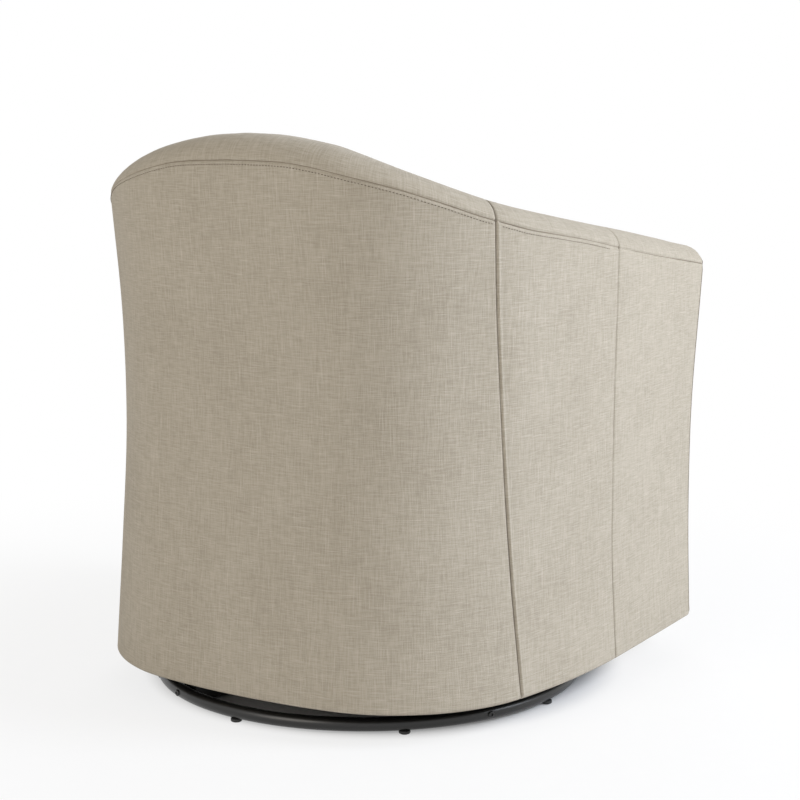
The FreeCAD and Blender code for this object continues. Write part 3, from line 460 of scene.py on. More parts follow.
# The top roll: soft foam along the top of the wall, covered in five strips that are sewn to the outside and
# inside panels, with a short cross seam over the roll above each upright seam. The ends round over.
CROWN_BACK = (0.046, 0.060)
CROWN_ARM = (0.037, 0.057)
ARM_DEPTH = 0.096
BACK_DEPTH = 0.150
BACK_TOP_DEPTH = 0.100
CUSHION_TOP = 0.4592
ROLL_PARTS = 16
CAP_DEPTH = 0.010
ROLL_CHORD = 0.012
ROLL_END = 0.014
ROLL_FALL = 0.004
ROLL_LIFT = 0.0004
ROLL_TUCK = 0.003


def inner_depth(s, z):
    u = step(CUSHION_TOP, CREST_Z[0] - INNER_SEAM_DROP, z)
    return blend(s, BACK_DEPTH + (BACK_TOP_DEPTH - BACK_DEPTH) * u, ARM_DEPTH)


def roll_section(s, sink=0.0, end_gap=ROLL_END):
    """Depth, height and run of the points over the roll, from its outer seam to its inner seam."""
    top = crest(s)
    u = min(max(1 - end_gap / ROLL_END, 0.0), 1.0)
    top -= ROLL_FALL * (1 - math.sqrt(1 - u * u))
    arcs = []
    crowns = (blend(s, CROWN_BACK[0], CROWN_ARM[0]), blend(s, CROWN_BACK[1], CROWN_ARM[1]))
    for z, depth, crown in ((seam_z(s), outer_depth(s, seam_z(s)), crowns[0]),
                            (inner_seam_z(s), inner_depth(s, inner_seam_z(s)), crowns[1])):
        run = abs(crown - depth)
        drop = top - z
        radius = (run * run + drop * drop) / (2 * drop)
        arcs.append((radius, math.atan2(run, radius - drop)))
    outer, inner = arcs
    first = outer[0] * outer[1]
    flat_run = crowns[1] - crowns[0]
    length = first + flat_run + inner[0] * inner[1]
    points = []
    for mark in crowded(length, ROLL_PARTS):
        rise = -sink - valley(mark) - valley(length - mark) + ROLL_LIFT
        if mark < first:
            turn = (first - mark) / outer[0]
            reach = outer[0] + rise
            points.append((crowns[0] - reach * math.sin(turn), top - outer[0] + reach * math.cos(turn), mark))
        elif mark < first + flat_run:
            points.append((crowns[0] + mark - first, top + rise, mark))
        else:
            turn = (mark - first - flat_run) / inner[0]
            reach = inner[0] + rise
            points.append((crowns[1] + reach * math.sin(turn), top - inner[0] + reach * math.cos(turn), mark))
    return points


def run_to(start, mark, length, z, front, short=0.0):
    """Distance along the hem of a mark between a seam and the leaning front end of the wall."""
    return start + (front_s(z) - short - start) * mark / length if front else start + mark


def top_roll(name, start, end, nodes, side=1, front=False):
    length = end - start
    rows, flat = [], []
    for mark in crowded(length, max(int(length / ROLL_CHORD), 6)):
        s = start + mark
        sink = valley(mark) + valley(length - mark)
        sink -= drift(s, 0.7, 5.0 if side * s > 0 else 1.0, 0.0008)
        points = roll_section(s, sink, length - mark if front else ROLL_END)
        row, places = [], []
        for depth, z, run in points:
            row.append(place(side * run_to(start, mark, length, z, front), depth, z))
            places.append((s, 0.9 + run))
        z = points[-1][1]
        at = run_to(start, mark, length, z, front)
        for depth in (points[-1][0] - ROLL_TUCK, points[0][0] + ROLL_TUCK):
            row.append(place(side * at, depth, z))
            places.append((s, 0.0))
        rows.append(row)
        flat.append(places)
    work = bmesh.new()
    skin(work, rows, flat, closed=True, caps=CAP_DEPTH)
    upholster(piece_of(name, work, LINEN), nodes)


top_roll("top_roll_back", -REAR_SEAM_HEAD, REAR_SEAM_HEAD, ["top_roll_cover_back", "top_roll_foam_back"])
for side, word in SIDES:
    top_roll("top_roll_side_" + word, REAR_SEAM_HEAD, SIDE_SEAM,
             ["top_roll_cover_side_" + word, "top_roll_foam_" + word], side)
    top_roll("top_roll_front_" + word, SIDE_SEAM, ROLL_FRONT, ["top_roll_cover_front_" + word], side, True)


# The stitching under the top seam: a row of small dark stitches that holds the seam allowance flat, across the
# back and along the sides up to the front panels. Their dark colour is partly the thread and partly painted shade
# in the stitch holes.
STITCH_DROP = 0.0055
STITCH_PITCH = 0.0046
STITCH_LENGTH = 0.0028
STITCH_RADIUS = 0.00045
STITCH_SIDES = 6
STITCH_FORM = ((-0.5, 0.25, -1.0), (-0.36, 0.8, -0.2), (-0.15, 1.0, 0.3),
               (0.15, 1.0, 0.3), (0.36, 0.8, -0.2), (0.5, 0.25, -1.0))
NEARBY = 0.001
BACK_STITCH_GAP = 0.004
SIDE_STITCH_GAPS = (0.010, 0.030)


def thread_and_shade_finish(name, low, high):
    thread, tree, shader = finish(name, 0.6, specular=0.3)
    twist = speckle(tree, object_spot(tree), (2600.0, 2600.0, 2600.0), 1.3, 0.3, 0.7)
    coloured(tree, shader, twist, (0.0, low), (1.0, high))
    embossed(tree, shader, twist, 0.00005)
    return thread


def thread_and_shade_piece(name, work, material, body="seat"):
    lines = piece_of(name, work, material)
    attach(lines, body)


# Stitch colour: thread with painted shade of the stitch holes, darker than the thread alone.
THREAD_WITH_PAINTED_HOLE_SHADE = thread_and_shade_finish("thread_with_painted_hole_shade", (0.070, 0.053, 0.036), (0.140, 0.110, 0.078))


def outside_spot(s, z, side, rise=0.0):
    return place(side * s, outer_depth(s, z) - rise, z)


def stitch_row(name, first, last, side=1):
    work = bmesh.new()
    count = int((last - first) / STITCH_PITCH)
    for k in range(count):
        s = first + (last - first) * (k + 0.5) / count
        z = seam_z(s) - STITCH_DROP
        rise = wall_drift(side, s, z) - valley(STITCH_DROP) + STITCH_RADIUS * 0.5
        ahead = outside_spot(s + NEARBY, seam_z(s + NEARBY) - STITCH_DROP, side, rise)
        behind = outside_spot(s - NEARBY, seam_z(s - NEARBY) - STITCH_DROP, side, rise)
        along = (ahead - behind).normalized()
        out = (outside_spot(s, z, side, 0.01) - outside_spot(s, z, side, 0.0)).normalized()
        across = along.cross(out).normalized()
        middle = outside_spot(s, z, side, rise)
        rows = []
        for t, width, lift in STITCH_FORM:
            centre = middle + along * (t * STITCH_LENGTH) + out * (lift * STITCH_RADIUS)
            row = []
            for j in range(STITCH_SIDES):
                turn = 2 * math.pi * j / STITCH_SIDES
                row.append(centre + STITCH_RADIUS * width * (across * math.cos(turn) + out * math.sin(turn)))
            rows.append(row)
        skin(work, rows, closed=True, caps=0.0)
    thread_and_shade_piece(name, work, THREAD_WITH_PAINTED_HOLE_SHADE)


stitch_row("back_seam_stitches", BACK_STITCH_GAP - REAR_SEAM_HEAD, REAR_SEAM_HEAD - BACK_STITCH_GAP)
for side, word in SIDES:
    stitch_row("side_seam_stitches_" + word, REAR_SEAM_HEAD + SIDE_STITCH_GAPS[0],
               SIDE_SEAM - SIDE_STITCH_GAPS[1], side)


# The sewn lines themselves: where two panels meet, the thread and the shaded fold between them are drawn as a
# thin brown line along each upright seam, round the top and over the roll. Its brown is thread colour and painted
# shade of the fold.
LINE_RADIUS = 0.0005
LINE_DEPTH = 0.0014
LINE_SIDES = 6
LINE_STEP = 0.008
UPRIGHT_STEP = 0.012
UNDER_ROLL_Z = 0.67
OVER_ROLL_Z = 0.685
# Seam line colour: thread with painted shade of the fold between the panels.
THREAD_WITH_PAINTED_FOLD_SHADE = thread_and_shade_finish("thread_with_painted_fold_shade", (0.190, 0.155, 0.112), (0.290, 0.245, 0.185))


def sewn_line(work, path):
    """Thin line along a path, for the thread and the painted shade of a seam."""
    rows = []
    for k, spot in enumerate(path):
        along = (path[min(k + 1, len(path) - 1)] - path[max(k - 1, 0)]).normalized()
        aside = Vector((0.3, 0.2, 1.0)) if abs(along.z) < 0.8 else Vector((1.0, 0.3, 0.0))
        across = along.cross(aside).normalized()
        other = along.cross(across)
        row = []
        for j in range(LINE_SIDES):
            turn = 2 * math.pi * j / LINE_SIDES
            row.append(spot + LINE_RADIUS * (across * math.cos(turn) + other * math.sin(turn)))
        rows.append(row)
    skin(work, rows, closed=True, caps=0.0)


def steps_between(first, last, pitch):
    count = max(int(abs(last - first) / pitch), 2)
    return [first + (last - first) * k / count for k in range(count + 1)]


def roll_path(side, s):
    points = roll_section(s, LINE_DEPTH - ROLL_LIFT)
    return [place(side * s, depth, z) for depth, z, run in points]


def thread_and_shade_lines(name, paths, body="seat"):
    work = bmesh.new()
    for path in paths:
        sewn_line(work, path)
    thread_and_shade_piece(name, work, THREAD_WITH_PAINTED_FOLD_SHADE, body)


top_paths = [[outside_spot(abs(s), seam_z(s), 1 if s > 0 else -1, -LINE_DEPTH)
              for s in steps_between(-ROLL_FRONT + 0.002, ROLL_FRONT - 0.002, LINE_STEP)]]
thread_and_shade_lines("top_seam_line", top_paths)
for side, word in SIDES:
    upright = []
    for seam in (rear_seam, side_seam):
        top = seam_z(seam(UNDER_ROLL_Z))
        upright.append([outside_spot(seam(z), z, side, -LINE_DEPTH)
                        for z in steps_between(HEM_Z + 0.004, top, UPRIGHT_STEP)])
        upright.append(roll_path(side, seam(OVER_ROLL_Z)))
    thread_and_shade_lines("upright_seam_lines_" + word, upright)


# The arm facings: the front end of each arm, a tall panel over foam that is sewn all round to the outside panel,
# the roll and the inside arm, and stands slightly proud in its middle.
FACING_BACK = 0.028
FACING_CORNER = 0.010
FACING_CROWN = 0.0035
FACING_SPREAD = 0.018
FACING_FALL = 1.3
FACING_TAPER = 0.95
FACING_SINK = 0.0005
FACING_VALLEY = (0.002, 0.003)
FACING_RINGS = (0.0, 0.0007, 0.0015, 0.0024, 0.0034, 0.0046, 0.0062, 0.009, 0.014, 0.021, 0.030)
FACING_BEND_STEPS = 5
FACING_RUNGS = 55
FACING_FOOT_STEPS = 9


def facing_outline():
    """Depths and heights round a facing: up its outer edge, over the roll and down its inner edge."""
    points = []
    for k in range(FACING_BEND_STEPS):
        turn = math.pi / 2 * k / (FACING_BEND_STEPS - 1)
        points.append((FACING_CORNER * (1 - math.sin(turn)), HEM_Z + FACING_CORNER * (1 - math.cos(turn))))
    low = HEM_Z + FACING_CORNER
    run = seam_z(ROLL_FRONT) - low
    for k in range(FACING_RUNGS + 1):
        z = low + run * (k + 1) / (FACING_RUNGS + 2)
        points.append((outer_depth(HALF_HEM, z), z))
    points += [(depth, z) for depth, z, run in roll_section(ROLL_FRONT, end_gap=0.0)[::2]]
    high = inner_seam_z(ROLL_FRONT)
    run = high - HEM_Z - 0.001
    points += [(ARM_DEPTH, high - run * (k + 1) / (FACING_RUNGS + 1)) for k in range(FACING_RUNGS + 1)]
    width = ARM_DEPTH - FACING_CORNER
    points += [(ARM_DEPTH - width * k / FACING_FOOT_STEPS, HEM_Z) for k in range(1, FACING_FOOT_STEPS)]
    return points


def facing_point(side, depth, z, rise):
    spot = place(side * front_s(z), depth, z)
    return Vector((spot.x, front_y(z) - rise, z))


def arm_facing(word, side):
    outline = facing_outline()
    highest = max(z for depth, z in outline)
    middle = ARM_DEPTH / 2
    rows, flat = [], []
    rows.append([facing_point(side, middle + (depth - middle) * FACING_TAPER, z, -FACING_BACK)
                 for depth, z in outline])
    flat.append([(depth + 2.0, z) for depth, z in outline])
    for inset in FACING_RINGS:
        rise = FACING_CROWN * (1 - math.exp(-(inset / FACING_SPREAD) ** FACING_FALL))
        rise = rise - valley(inset, *FACING_VALLEY) - FACING_SINK
        row, places = [], []
        for depth, z in outline:
            core = Vector((middle, min(max(z, HEM_Z + middle), highest - middle)))
            reach = Vector((depth, z)) - core
            spot = core + reach * max(1 - inset / reach.length, 0.02)
            row.append(facing_point(side, spot.x, spot.y, rise + drift(spot.x, spot.y, 2.0 * side, 0.0006)))
            places.append((spot.x, spot.y))
        rows.append(row)
        flat.append(places)
    work = bmesh.new()
    made = skin(work, rows, flat, closed=True)
    count = len(outline)
    hidden = work.verts.new(sum((v.co for v in made[0]), Vector()) / count)
    for k in range(count):
        work.faces.new((made[0][k], made[0][(k + 1) % count], hidden))
    row = made[-1]
    # Rungs across the tall middle keep the face on its bend, and one face closes the foot and one the head.
    near, far = FACING_BEND_STEPS, count - FACING_FOOT_STEPS - 1
    work.faces.new(row[far:] + row[:near + 1])
    for k in range(1, FACING_RUNGS):
        work.faces.new((row[near], row[near + 1], row[far - 1], row[far]))
        near += 1
        far -= 1
    work.faces.new(row[near:far + 1])
    facing = piece_of("arm_facing_" + word, work, LINEN)
    upholster(facing, ["arm_facing_cover_" + word, "arm_facing_foam_" + word])


for side, word in SIDES:
    arm_facing(word, side)
    edge = [facing_point(side, depth, z, -LINE_DEPTH) for depth, z in facing_outline()[3:-9]]
    thread_and_shade_lines("arm_facing_seam_" + word, [edge])


# The inside back and inside arms: foam over webbing and boards, covered in three panels that are sewn to the
# roll above and to each other, and pulled down past the deck to the seat board.
INSIDE_SEAM = 0.3104
INSIDE_FOOT = 0.286
INSIDE_BACK = 0.0690
INSIDE_ROWS = 24
INSIDE_CROWN = 0.0035
INSIDE_CHORD = 0.013
INSIDE_SPREAD = 0.03


def inside_pad(name, start, end, nodes, side=1, front=False):
    length = (front_s(0.5) if front else end) - start
    rows, flat = [], []
    for mark in crowded(length, max(int(length / INSIDE_CHORD), 8)):
        s = start + mark
        top = inner_seam_z(s)
        row, places = [], []
        for along in crowded(top - INSIDE_FOOT, INSIDE_ROWS):
            z = top - along
            at = run_to(start, mark, length, z, front)
            swell = INSIDE_CROWN * step(CUSHION_TOP - 0.01, CUSHION_TOP + 0.07, z)
            swell *= 1 - math.exp(-along / INSIDE_SPREAD)
            swell *= 1 - math.exp(-min(mark, length - mark) / INSIDE_SPREAD)
            rise = swell + drift(s, z, 12.0 + side, 0.0008)
            rise = rise - valley(mark) - valley(length - mark) - valley(along)
            row.append(place(side * at, inner_depth(s, z) + rise, z))
            places.append((s, z))
        for z in (INSIDE_FOOT, top):
            at = run_to(start, mark, length, z, front, CAP_DEPTH)
            row.append(place(side * at, INSIDE_BACK, z))
            places.append((s, z))
        rows.append(row)
        flat.append(places)
    work = bmesh.new()
    skin(work, rows, flat, closed=True, caps=CAP_DEPTH)
    upholster(piece_of(name, work, LINEN), nodes)


inside_pad("inside_back_pad", -INSIDE_SEAM, INSIDE_SEAM, ["inside_back_cover", "inside_back_foam"])
for side, word in SIDES:
    inside_pad("inside_arm_pad_" + word, INSIDE_SEAM, HALF_HEM,
               ["inside_arm_cover_" + word, "inside_arm_foam_" + word], side, True)


inside_paths = [[place(s, inner_depth(s, inner_seam_z(s)) - LINE_DEPTH, inner_seam_z(s))
                 for s in steps_between(0.003 - INNER_FRONT, INNER_FRONT - 0.003, LINE_STEP)]]
for side, word in SIDES:
    inside_paths.append([place(side * INSIDE_SEAM, inner_depth(INSIDE_SEAM, z) - LINE_DEPTH, z)
                         for z in steps_between(0.30, inner_seam_z(INSIDE_SEAM) - 0.001, UPRIGHT_STEP)])
thread_and_shade_lines("inside_seam_lines", inside_paths)


# The front border: foam over the front rail between the arms, covered in one panel that turns under the bottom
# board below and over the rail above, where the deck cloth is sewn to it.
BORDER_SETBACK = 0.008
BORDER_BEND = 0.014
BORDER_HALF = 0.2611
BORDER_CROWN = 0.003
BORDER_SPREAD = 0.05
BORDER_SINK = 0.0004
DECK_TOP = 0.3189
RAIL_FACE = AXIS_Y - 0.3407
RAIL_BACK = AXIS_Y - 0.3204
RAIL_TOP = 0.2806


def front_border():
    profile = []
    for k in range(7):
        turn = math.pi / 2 * k / 6
        z = HEM_Z + HEM_RADIUS * (1 - math.cos(turn))
        profile.append((front_y(z) + BORDER_SETBACK + HEM_RADIUS * (1 - math.sin(turn)), z, 0.0))
    bend_z = DECK_TOP - BORDER_BEND
    for k in range(1, 25):
        z = HEM_Z + HEM_RADIUS + (bend_z - HEM_Z - HEM_RADIUS) * k / 24
        profile.append((front_y(z) + BORDER_SETBACK, z, math.sin(math.pi * k / 30)))
    centre_y = front_y(bend_z) + BORDER_SETBACK + BORDER_BEND
    for k in range(1, 9):
        turn = math.pi / 2 * k / 8
        profile.append((centre_y - BORDER_BEND * math.cos(turn), bend_z + BORDER_BEND * math.sin(turn), 0.5))
    for k in range(1, 4):
        profile.append((centre_y + (RAIL_BACK - centre_y) * k / 3, DECK_TOP, 0.0))
    hidden = [(RAIL_BACK, RAIL_TOP), (RAIL_FACE, RAIL_TOP), (RAIL_FACE, HEM_Z + 0.001)]
    rows, flat = [], []
    length = 2 * BORDER_HALF
    for mark in crowded(length, 40):
        x = mark - BORDER_HALF
        sink = valley(mark) + valley(length - mark)
        crown = BORDER_CROWN * (1 - math.exp(-min(mark, length - mark) / BORDER_SPREAD))
        row, places = [], []
        run = 0.0
        before = profile[0]
        for y, z, full in profile:
            run += math.hypot(y - before[0], z - before[1])
            before = (y, z)
            push = crown * full + drift(x, z, 21.0, 0.0008) * (1 if z < bend_z else 0) - sink
            if z > bend_z:
                lean = (z - bend_z) / BORDER_BEND
                back = push * math.sqrt(max(1 - lean * lean, 0))
                row.append(Vector((x, y - back, z + push * lean - BORDER_SINK)))
            else:
                row.append(Vector((x, y - push, z)))
            places.append((x + 4.0, run))
        for y, z in hidden:
            row.append(Vector((x, y, z)))
            places.append((x, 0.0))
        rows.append(row)
        flat.append(places)
    work = bmesh.new()
    skin(work, rows, flat, closed=True, caps=CAP_DEPTH)
    upholster(piece_of("front_border", work, LINEN), ["front_border_cover", "front_border_foam"])


front_border()


# The deck under the seat cushion: a foam pad on the webbing under a plain cloth, sewn to the border in front
# and tucked down behind the inside panels.
DECK_FOOT = 0.2852
DECK_EDGE = 0.012
DECK_CLEARANCE = 0.0006
DECK_FRONT_GAP = 0.0004
DECK_SAG = 0.0012
DECK_RINGS = (0.03, 0.055, 0.085, 0.12, 0.16, 0.20, 0.235)
TWILL_PITCH = 0.0016
CORNER_STEPS = 8


def inside_ring(clearance, z, front, corner, count=110):
    """Outline parallel to the inside of the wall, closed by a straight front with rounded corners."""
    low, high = 0.4, HALF_HEM
    for again in range(30):
        middle = (low + high) / 2
        if place(middle, inner_depth(middle, z) + clearance, z).y > front + corner:
            low = middle
        else:
            high = middle
    points = []
    for k in range(count + 1):
        s = -low + 2 * low * k / count
        points.append(place(s, inner_depth(s, z) + clearance, z))
    half = points[-1].x
    bends = []
    for k in range(CORNER_STEPS + 1):
        turn = math.pi / 2 * k / CORNER_STEPS
        bends.append((half - corner * (1 - math.cos(turn)), front + corner * (1 - math.sin(turn))))
    points += [Vector((x, y, z)) for x, y in bends[1:]]
    across = 40
    for k in range(1, across):
        points.append(Vector(((half - corner) * (1 - 2 * k / across), front, z)))
    return points + [Vector((-x, y, z)) for x, y in bends[:0:-1]]


def shrunk(ring, inset, z):
    """Ring drawn in by about an inset towards its middle."""
    middle = Vector((0.0, (max(p.y for p in ring) + min(p.y for p in ring)) / 2, 0.0))
    found = []
    for p in ring:
        reach = Vector((p.x, p.y, 0.0)) - middle
        spot = middle + reach * max(1 - inset / reach.length, 0.0)
        found.append(Vector((spot.x, spot.y, z)))
    return found


def deck_finish():
    cloth, tree, shader = finish("deck_cloth", 0.9, specular=0.2)
    spot = object_spot(tree)
    parts = tree.nodes.new("ShaderNodeSeparateXYZ")
    tree.links.new(spot, parts.inputs[0])
    twill = sums(tree, "ADD", parts.outputs[0], parts.outputs[1])
    ribs = wave(tree, twill, TWILL_PITCH)
    fibre = speckle(tree, spot, (420.0, 420.0, 420.0), 4.2, 0.3, 0.7)
    tone = sums(tree, "ADD", mixed(tree, ((0.25, ribs), (0.35, fibre))), 0.35)
    coloured(tree, shader, tone, (0.0, (0.30, 0.26, 0.20)), (1.0, (0.46, 0.41, 0.33)))
    embossed(tree, shader, ribs, 0.0002)
    return cloth


def deck():
    base = inside_ring(DECK_CLEARANCE, DECK_TOP, RAIL_BACK + DECK_FRONT_GAP, 0.0)
    rows = [shrunk(base, 0.0, DECK_FOOT), shrunk(base, 0.0, DECK_TOP - DECK_EDGE)]
    for k in range(1, 5):
        turn = math.pi / 2 * k / 4
        drop = DECK_EDGE * (1 - math.sin(turn))
        rows.append(shrunk(base, DECK_EDGE * (1 - math.cos(turn)), DECK_TOP - drop))
    for inset in DECK_RINGS:
        rows.append(shrunk(base, inset, DECK_TOP - DECK_SAG * step(0.0, 0.2, inset)))
    work = bmesh.new()
    skin(work, rows, closed=True, caps=0.0)
    upholster(piece_of("deck_cloth_pad", work, deck_finish()), ["deck_pad"])


deck()


# The seat cushion: loose, boxed and filled with foam and fibre, so its top crowns and its sides draw in. Its form
# comes from cloth under pressure. The top panel, the boxing and the bottom panel then lie on that form, sewn
# together at two plain seams.
CUSHION_Z = 0.3194
CUSHION_MIDDLE_Z = 0.385
CUSHION_CLEARANCE = 0.0025
CUSHION_SETBACK = 0.002
CUSHION_CORNER = 0.028
LOWER_SEAM_Z = 0.3300
UPPER_SEAM_Z = 0.4270
CUSHION_LEVELS = ((0.0, 0.016), (0.003, 0.007), (0.012, 0.003), (0.060, 0.005), (0.108, 0.003), (0.121, 0.010),
                  (0.130, 0.030), (0.136, 0.080), (0.1385, 0.140))
CUSHION_LINE_DEPTH = 0.0021
CUSHION_VALLEY = (0.0024, 0.003)
BOXING_ROWS = 14
EDGE_PIVOTS = {"top": 0.030, "bottom": 0.012}
EDGE_TURNS = (0.0, 1.5, 3.5, 6, 9, 13, 18, 25, 33, 43, 54, 66, 78, 90)
PANEL_SHARES = (0.86, 0.78, 0.69, 0.59, 0.48, 0.36, 0.24, 0.12)
SWELL_ROOM = 0.006
SWELL_CAP = 0.012
VOXEL = 0.006
PRESSURE = 4.0
SWELL_FRAMES = 20


def cushion_form():
    front = front_y(CUSHION_Z) + CUSHION_SETBACK
    base = inside_ring(CUSHION_CLEARANCE, CUSHION_MIDDLE_Z, front, CUSHION_CORNER)
    room = SWELL_ROOM
    rows = [shrunk(base, ease + room, CUSHION_Z + rise * (1 - room / 0.14) + 0.0002)
            for rise, ease in CUSHION_LEVELS]
    work = bmesh.new()
    skin(work, rows, closed=True, caps=0.0)
    form = piece_of("cushion_form", work)
    bpy.context.view_layer.objects.active = form
    form.data.remesh_voxel_size = VOXEL
    remesh = form.modifiers.new("even_mesh", "REMESH")
    remesh.mode = "VOXEL"
    remesh.voxel_size = VOXEL
    settle(form)
    start = [v.co.copy() for v in form.data.vertices]
    blown = form.modifiers.new("blown", "CLOTH")
    blown.settings.use_pressure = True
    blown.settings.uniform_pressure_force = PRESSURE
    blown.settings.effector_weights.gravity = 0.0
    blown.settings.tension_stiffness = 30
    blown.settings.compression_stiffness = 30
    blown.settings.bending_stiffness = 1.0
    blown.point_cache.frame_start = 1
    blown.point_cache.frame_end = SWELL_FRAMES
    scene = bpy.context.scene
    for number in range(1, SWELL_FRAMES + 1):
        scene.frame_set(number)
    settle(form)
    scene.frame_set(1)
    for vert, first in zip(form.data.vertices, start):
        move = vert.co - first
        if move.length > SWELL_CAP:
            move = move * (SWELL_CAP / move.length)
        vert.co = first + move
        vert.co.z = max(vert.co.z, CUSHION_Z)
    return base, form


def settle(piece):
    """Make the result of a piece's modifiers its own mesh."""
    graph = bpy.context.evaluated_depsgraph_get()
    mesh = bpy.data.meshes.new_from_object(piece.evaluated_get(graph))
    piece.modifiers.clear()
    piece.data = mesh


def cast(tree, origin, direction, fallback):
    hit = tree.ray_cast(origin, direction, 0.6)[0]
    return hit if hit is not None else fallback


def cushion():
    base, form = cushion_form()
    tree = BVHTree.FromPolygons([v.co for v in form.data.vertices],
                                [tuple(f.vertices) for f in form.data.polygons])
    middle = Vector((0.0, (max(p.y for p in base) + min(p.y for p in base)) / 2, 0.0))
    run, total = [], 0.0
    for k, p in enumerate(base):
        run.append(total)
        total += (base[(k + 1) % len(base)] - p).length

    def side_hit(k, z):
        out = Vector((base[k].x, base[k].y, 0.0)) - middle
        edge = Vector((base[k].x, base[k].y, z))
        return cast(tree, Vector((middle.x, middle.y, z)), out.normalized(), edge)

    def drawn_in(point, amount):
        toward = Vector((middle.x, middle.y, point.z)) - point
        return point + toward.normalized() * amount

    parts = []
    height = UPPER_SEAM_Z - LOWER_SEAM_Z
    rows, flat = [], []
    for mark in crowded(height, BOXING_ROWS):
        z = LOWER_SEAM_Z + mark
        sink = valley(mark, *CUSHION_VALLEY) + valley(height - mark, *CUSHION_VALLEY)
        row = [drawn_in(side_hit(k, z), sink + drift(run[k] * 0.7, z, 31.0, 0.0007))
               for k in range(len(base))]
        rows.append(row)
        flat.append([(r + 6.0, z) for r in run])
    parts.append(("seat_cushion_boxing_band", rows, flat, ["seat_cushion_boxing", "seat_cushion_foam"]))

    for word, seam, upward in (("top", UPPER_SEAM_Z, 1), ("bottom", LOWER_SEAM_Z, -1)):
        edges = [side_hit(k, seam) for k in range(len(base))]
        inner = EDGE_PIVOTS[word]
        rows, flat = [], []
        for turn in EDGE_TURNS:
            angle = math.radians(turn)
            row = []
            for edge in edges:
                out = Vector((edge.x, edge.y, 0.0)) - Vector((middle.x, middle.y, 0.0))
                heading = out.normalized()
                pivot = Vector((edge.x, edge.y, seam)) - heading * inner
                ray = heading * math.cos(angle) + Vector((0.0, 0.0, upward * math.sin(angle)))
                hit = cast(tree, pivot, ray, edge)
                along = inner * angle
                row.append(hit - ray * valley(along, *CUSHION_VALLEY))
            rows.append(row)
            flat.append([(p.x, p.y - 3.0 * upward) for p in row])
        for share in PANEL_SHARES:
            row = []
            for edge in edges:
                spot = middle + (Vector((edge.x, edge.y, 0.0)) - middle) * share
                above = Vector((spot.x, spot.y, CUSHION_MIDDLE_Z))
                hit = cast(tree, above, Vector((0.0, 0.0, float(upward))), above)
                rise = drift(spot.x, spot.y, 41.0, 0.001) if upward > 0 else 0.0
                row.append(hit + Vector((0.0, 0.0, rise)))
            rows.append(row)
            flat.append([(p.x, p.y - 3.0 * upward) for p in row])
        parts.append(("seat_cushion_%s_cover" % word, rows, flat, ["seat_cushion_%s_panel" % word]))

    for name, rows, flat, nodes in parts:
        work = bmesh.new()
        rim = skin(work, rows, flat, closed=True)[-1]
        if "boxing" not in name:
            centre = work.verts.new(sum((v.co for v in rim), Vector()) / len(rim))
            for k in range(len(rim)):
                work.faces.new((rim[k], rim[(k + 1) % len(rim)], centre))
            layer = work.verts.layers.float_vector["flat_place"]
            centre[layer] = sum((v[layer] for v in rim), Vector()) / len(rim)
        upholster(piece_of(name, work, LINEN), nodes, "cushion")
    seams = [[side_hit(k % len(base), z) for k in range(len(base) + 1)] for z in (LOWER_SEAM_Z, UPPER_SEAM_Z)]
    seams = [[drawn_in(spot, CUSHION_LINE_DEPTH) for spot in path] for path in seams]
    thread_and_shade_lines("cushion_seam_lines", seams, "cushion")
    bpy.data.objects.remove(form)


cushion()


# The dust cover: thin black cambric stapled under the bottom board, with a square hole for the swivel. It hangs
# a little between its staples.
DUST_Z = 0.0462
DUST_HOLE = 0.106
DUST_EDGE = 0.0085
DUST_SAG = 0.0007
DUST_FRONT = 0.034
DUST_RINGS = (0.0, 0.05, 0.12, 0.22, 0.34, 0.47, 0.6, 0.74, 0.87, 1.0)
CAMBRIC_THICKNESS = 0.0003


def cambric_finish():
    cloth, tree, shader = finish("black_cambric", 0.85, specular=0.2)
    spot = object_spot(tree)
    threads = speckle(tree, spot, (900.0, 120.0, 500.0), 2.2, 0.3, 0.7)
    coloured(tree, shader, threads, (0.0, (0.008, 0.008, 0.008)), (1.0, (0.022, 0.021, 0.020)))
    embossed(tree, shader, threads, 0.0001)
    return cloth


def dust_cover():
    front = front_y(HEM_Z) + DUST_FRONT
    outline = []
    low = HALF_HEM - DUST_FRONT
    for k in range(121):
        s = -low + 2 * low * k / 120
        outline.append(place(s, DUST_EDGE, DUST_Z))
    outline += [Vector((outline[-1].x * (1 - 2 * k / 40), front, DUST_Z)) for k in range(1, 40)]
    rows = []
    for share in DUST_RINGS:
        row = []
        for p in outline:
            out = Vector((p.x, p.y - AXIS_Y, 0.0))
            hole = out * (DUST_HOLE / max(abs(out.x), abs(out.y)))
            spot = out + (hole - out) * share
            sag = DUST_SAG * math.sin(math.pi * share)
            row.append(Vector((spot.x, spot.y + AXIS_Y, DUST_Z - sag)))
        rows.append(row)
    work = bmesh.new()
    skin(work, rows, closed=True)
    area = sum(face.calc_area() for face in work.faces)
    sheet = piece_of("cambric_dust_cover", work, cambric_finish())
    thickness = sheet.modifiers.new("cloth_thickness", "SOLIDIFY")
    thickness.thickness = CAMBRIC_THICKNESS
    thickness.offset = 0.0
    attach(sheet, "seat")
    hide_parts("dust_cover")


dust_cover()


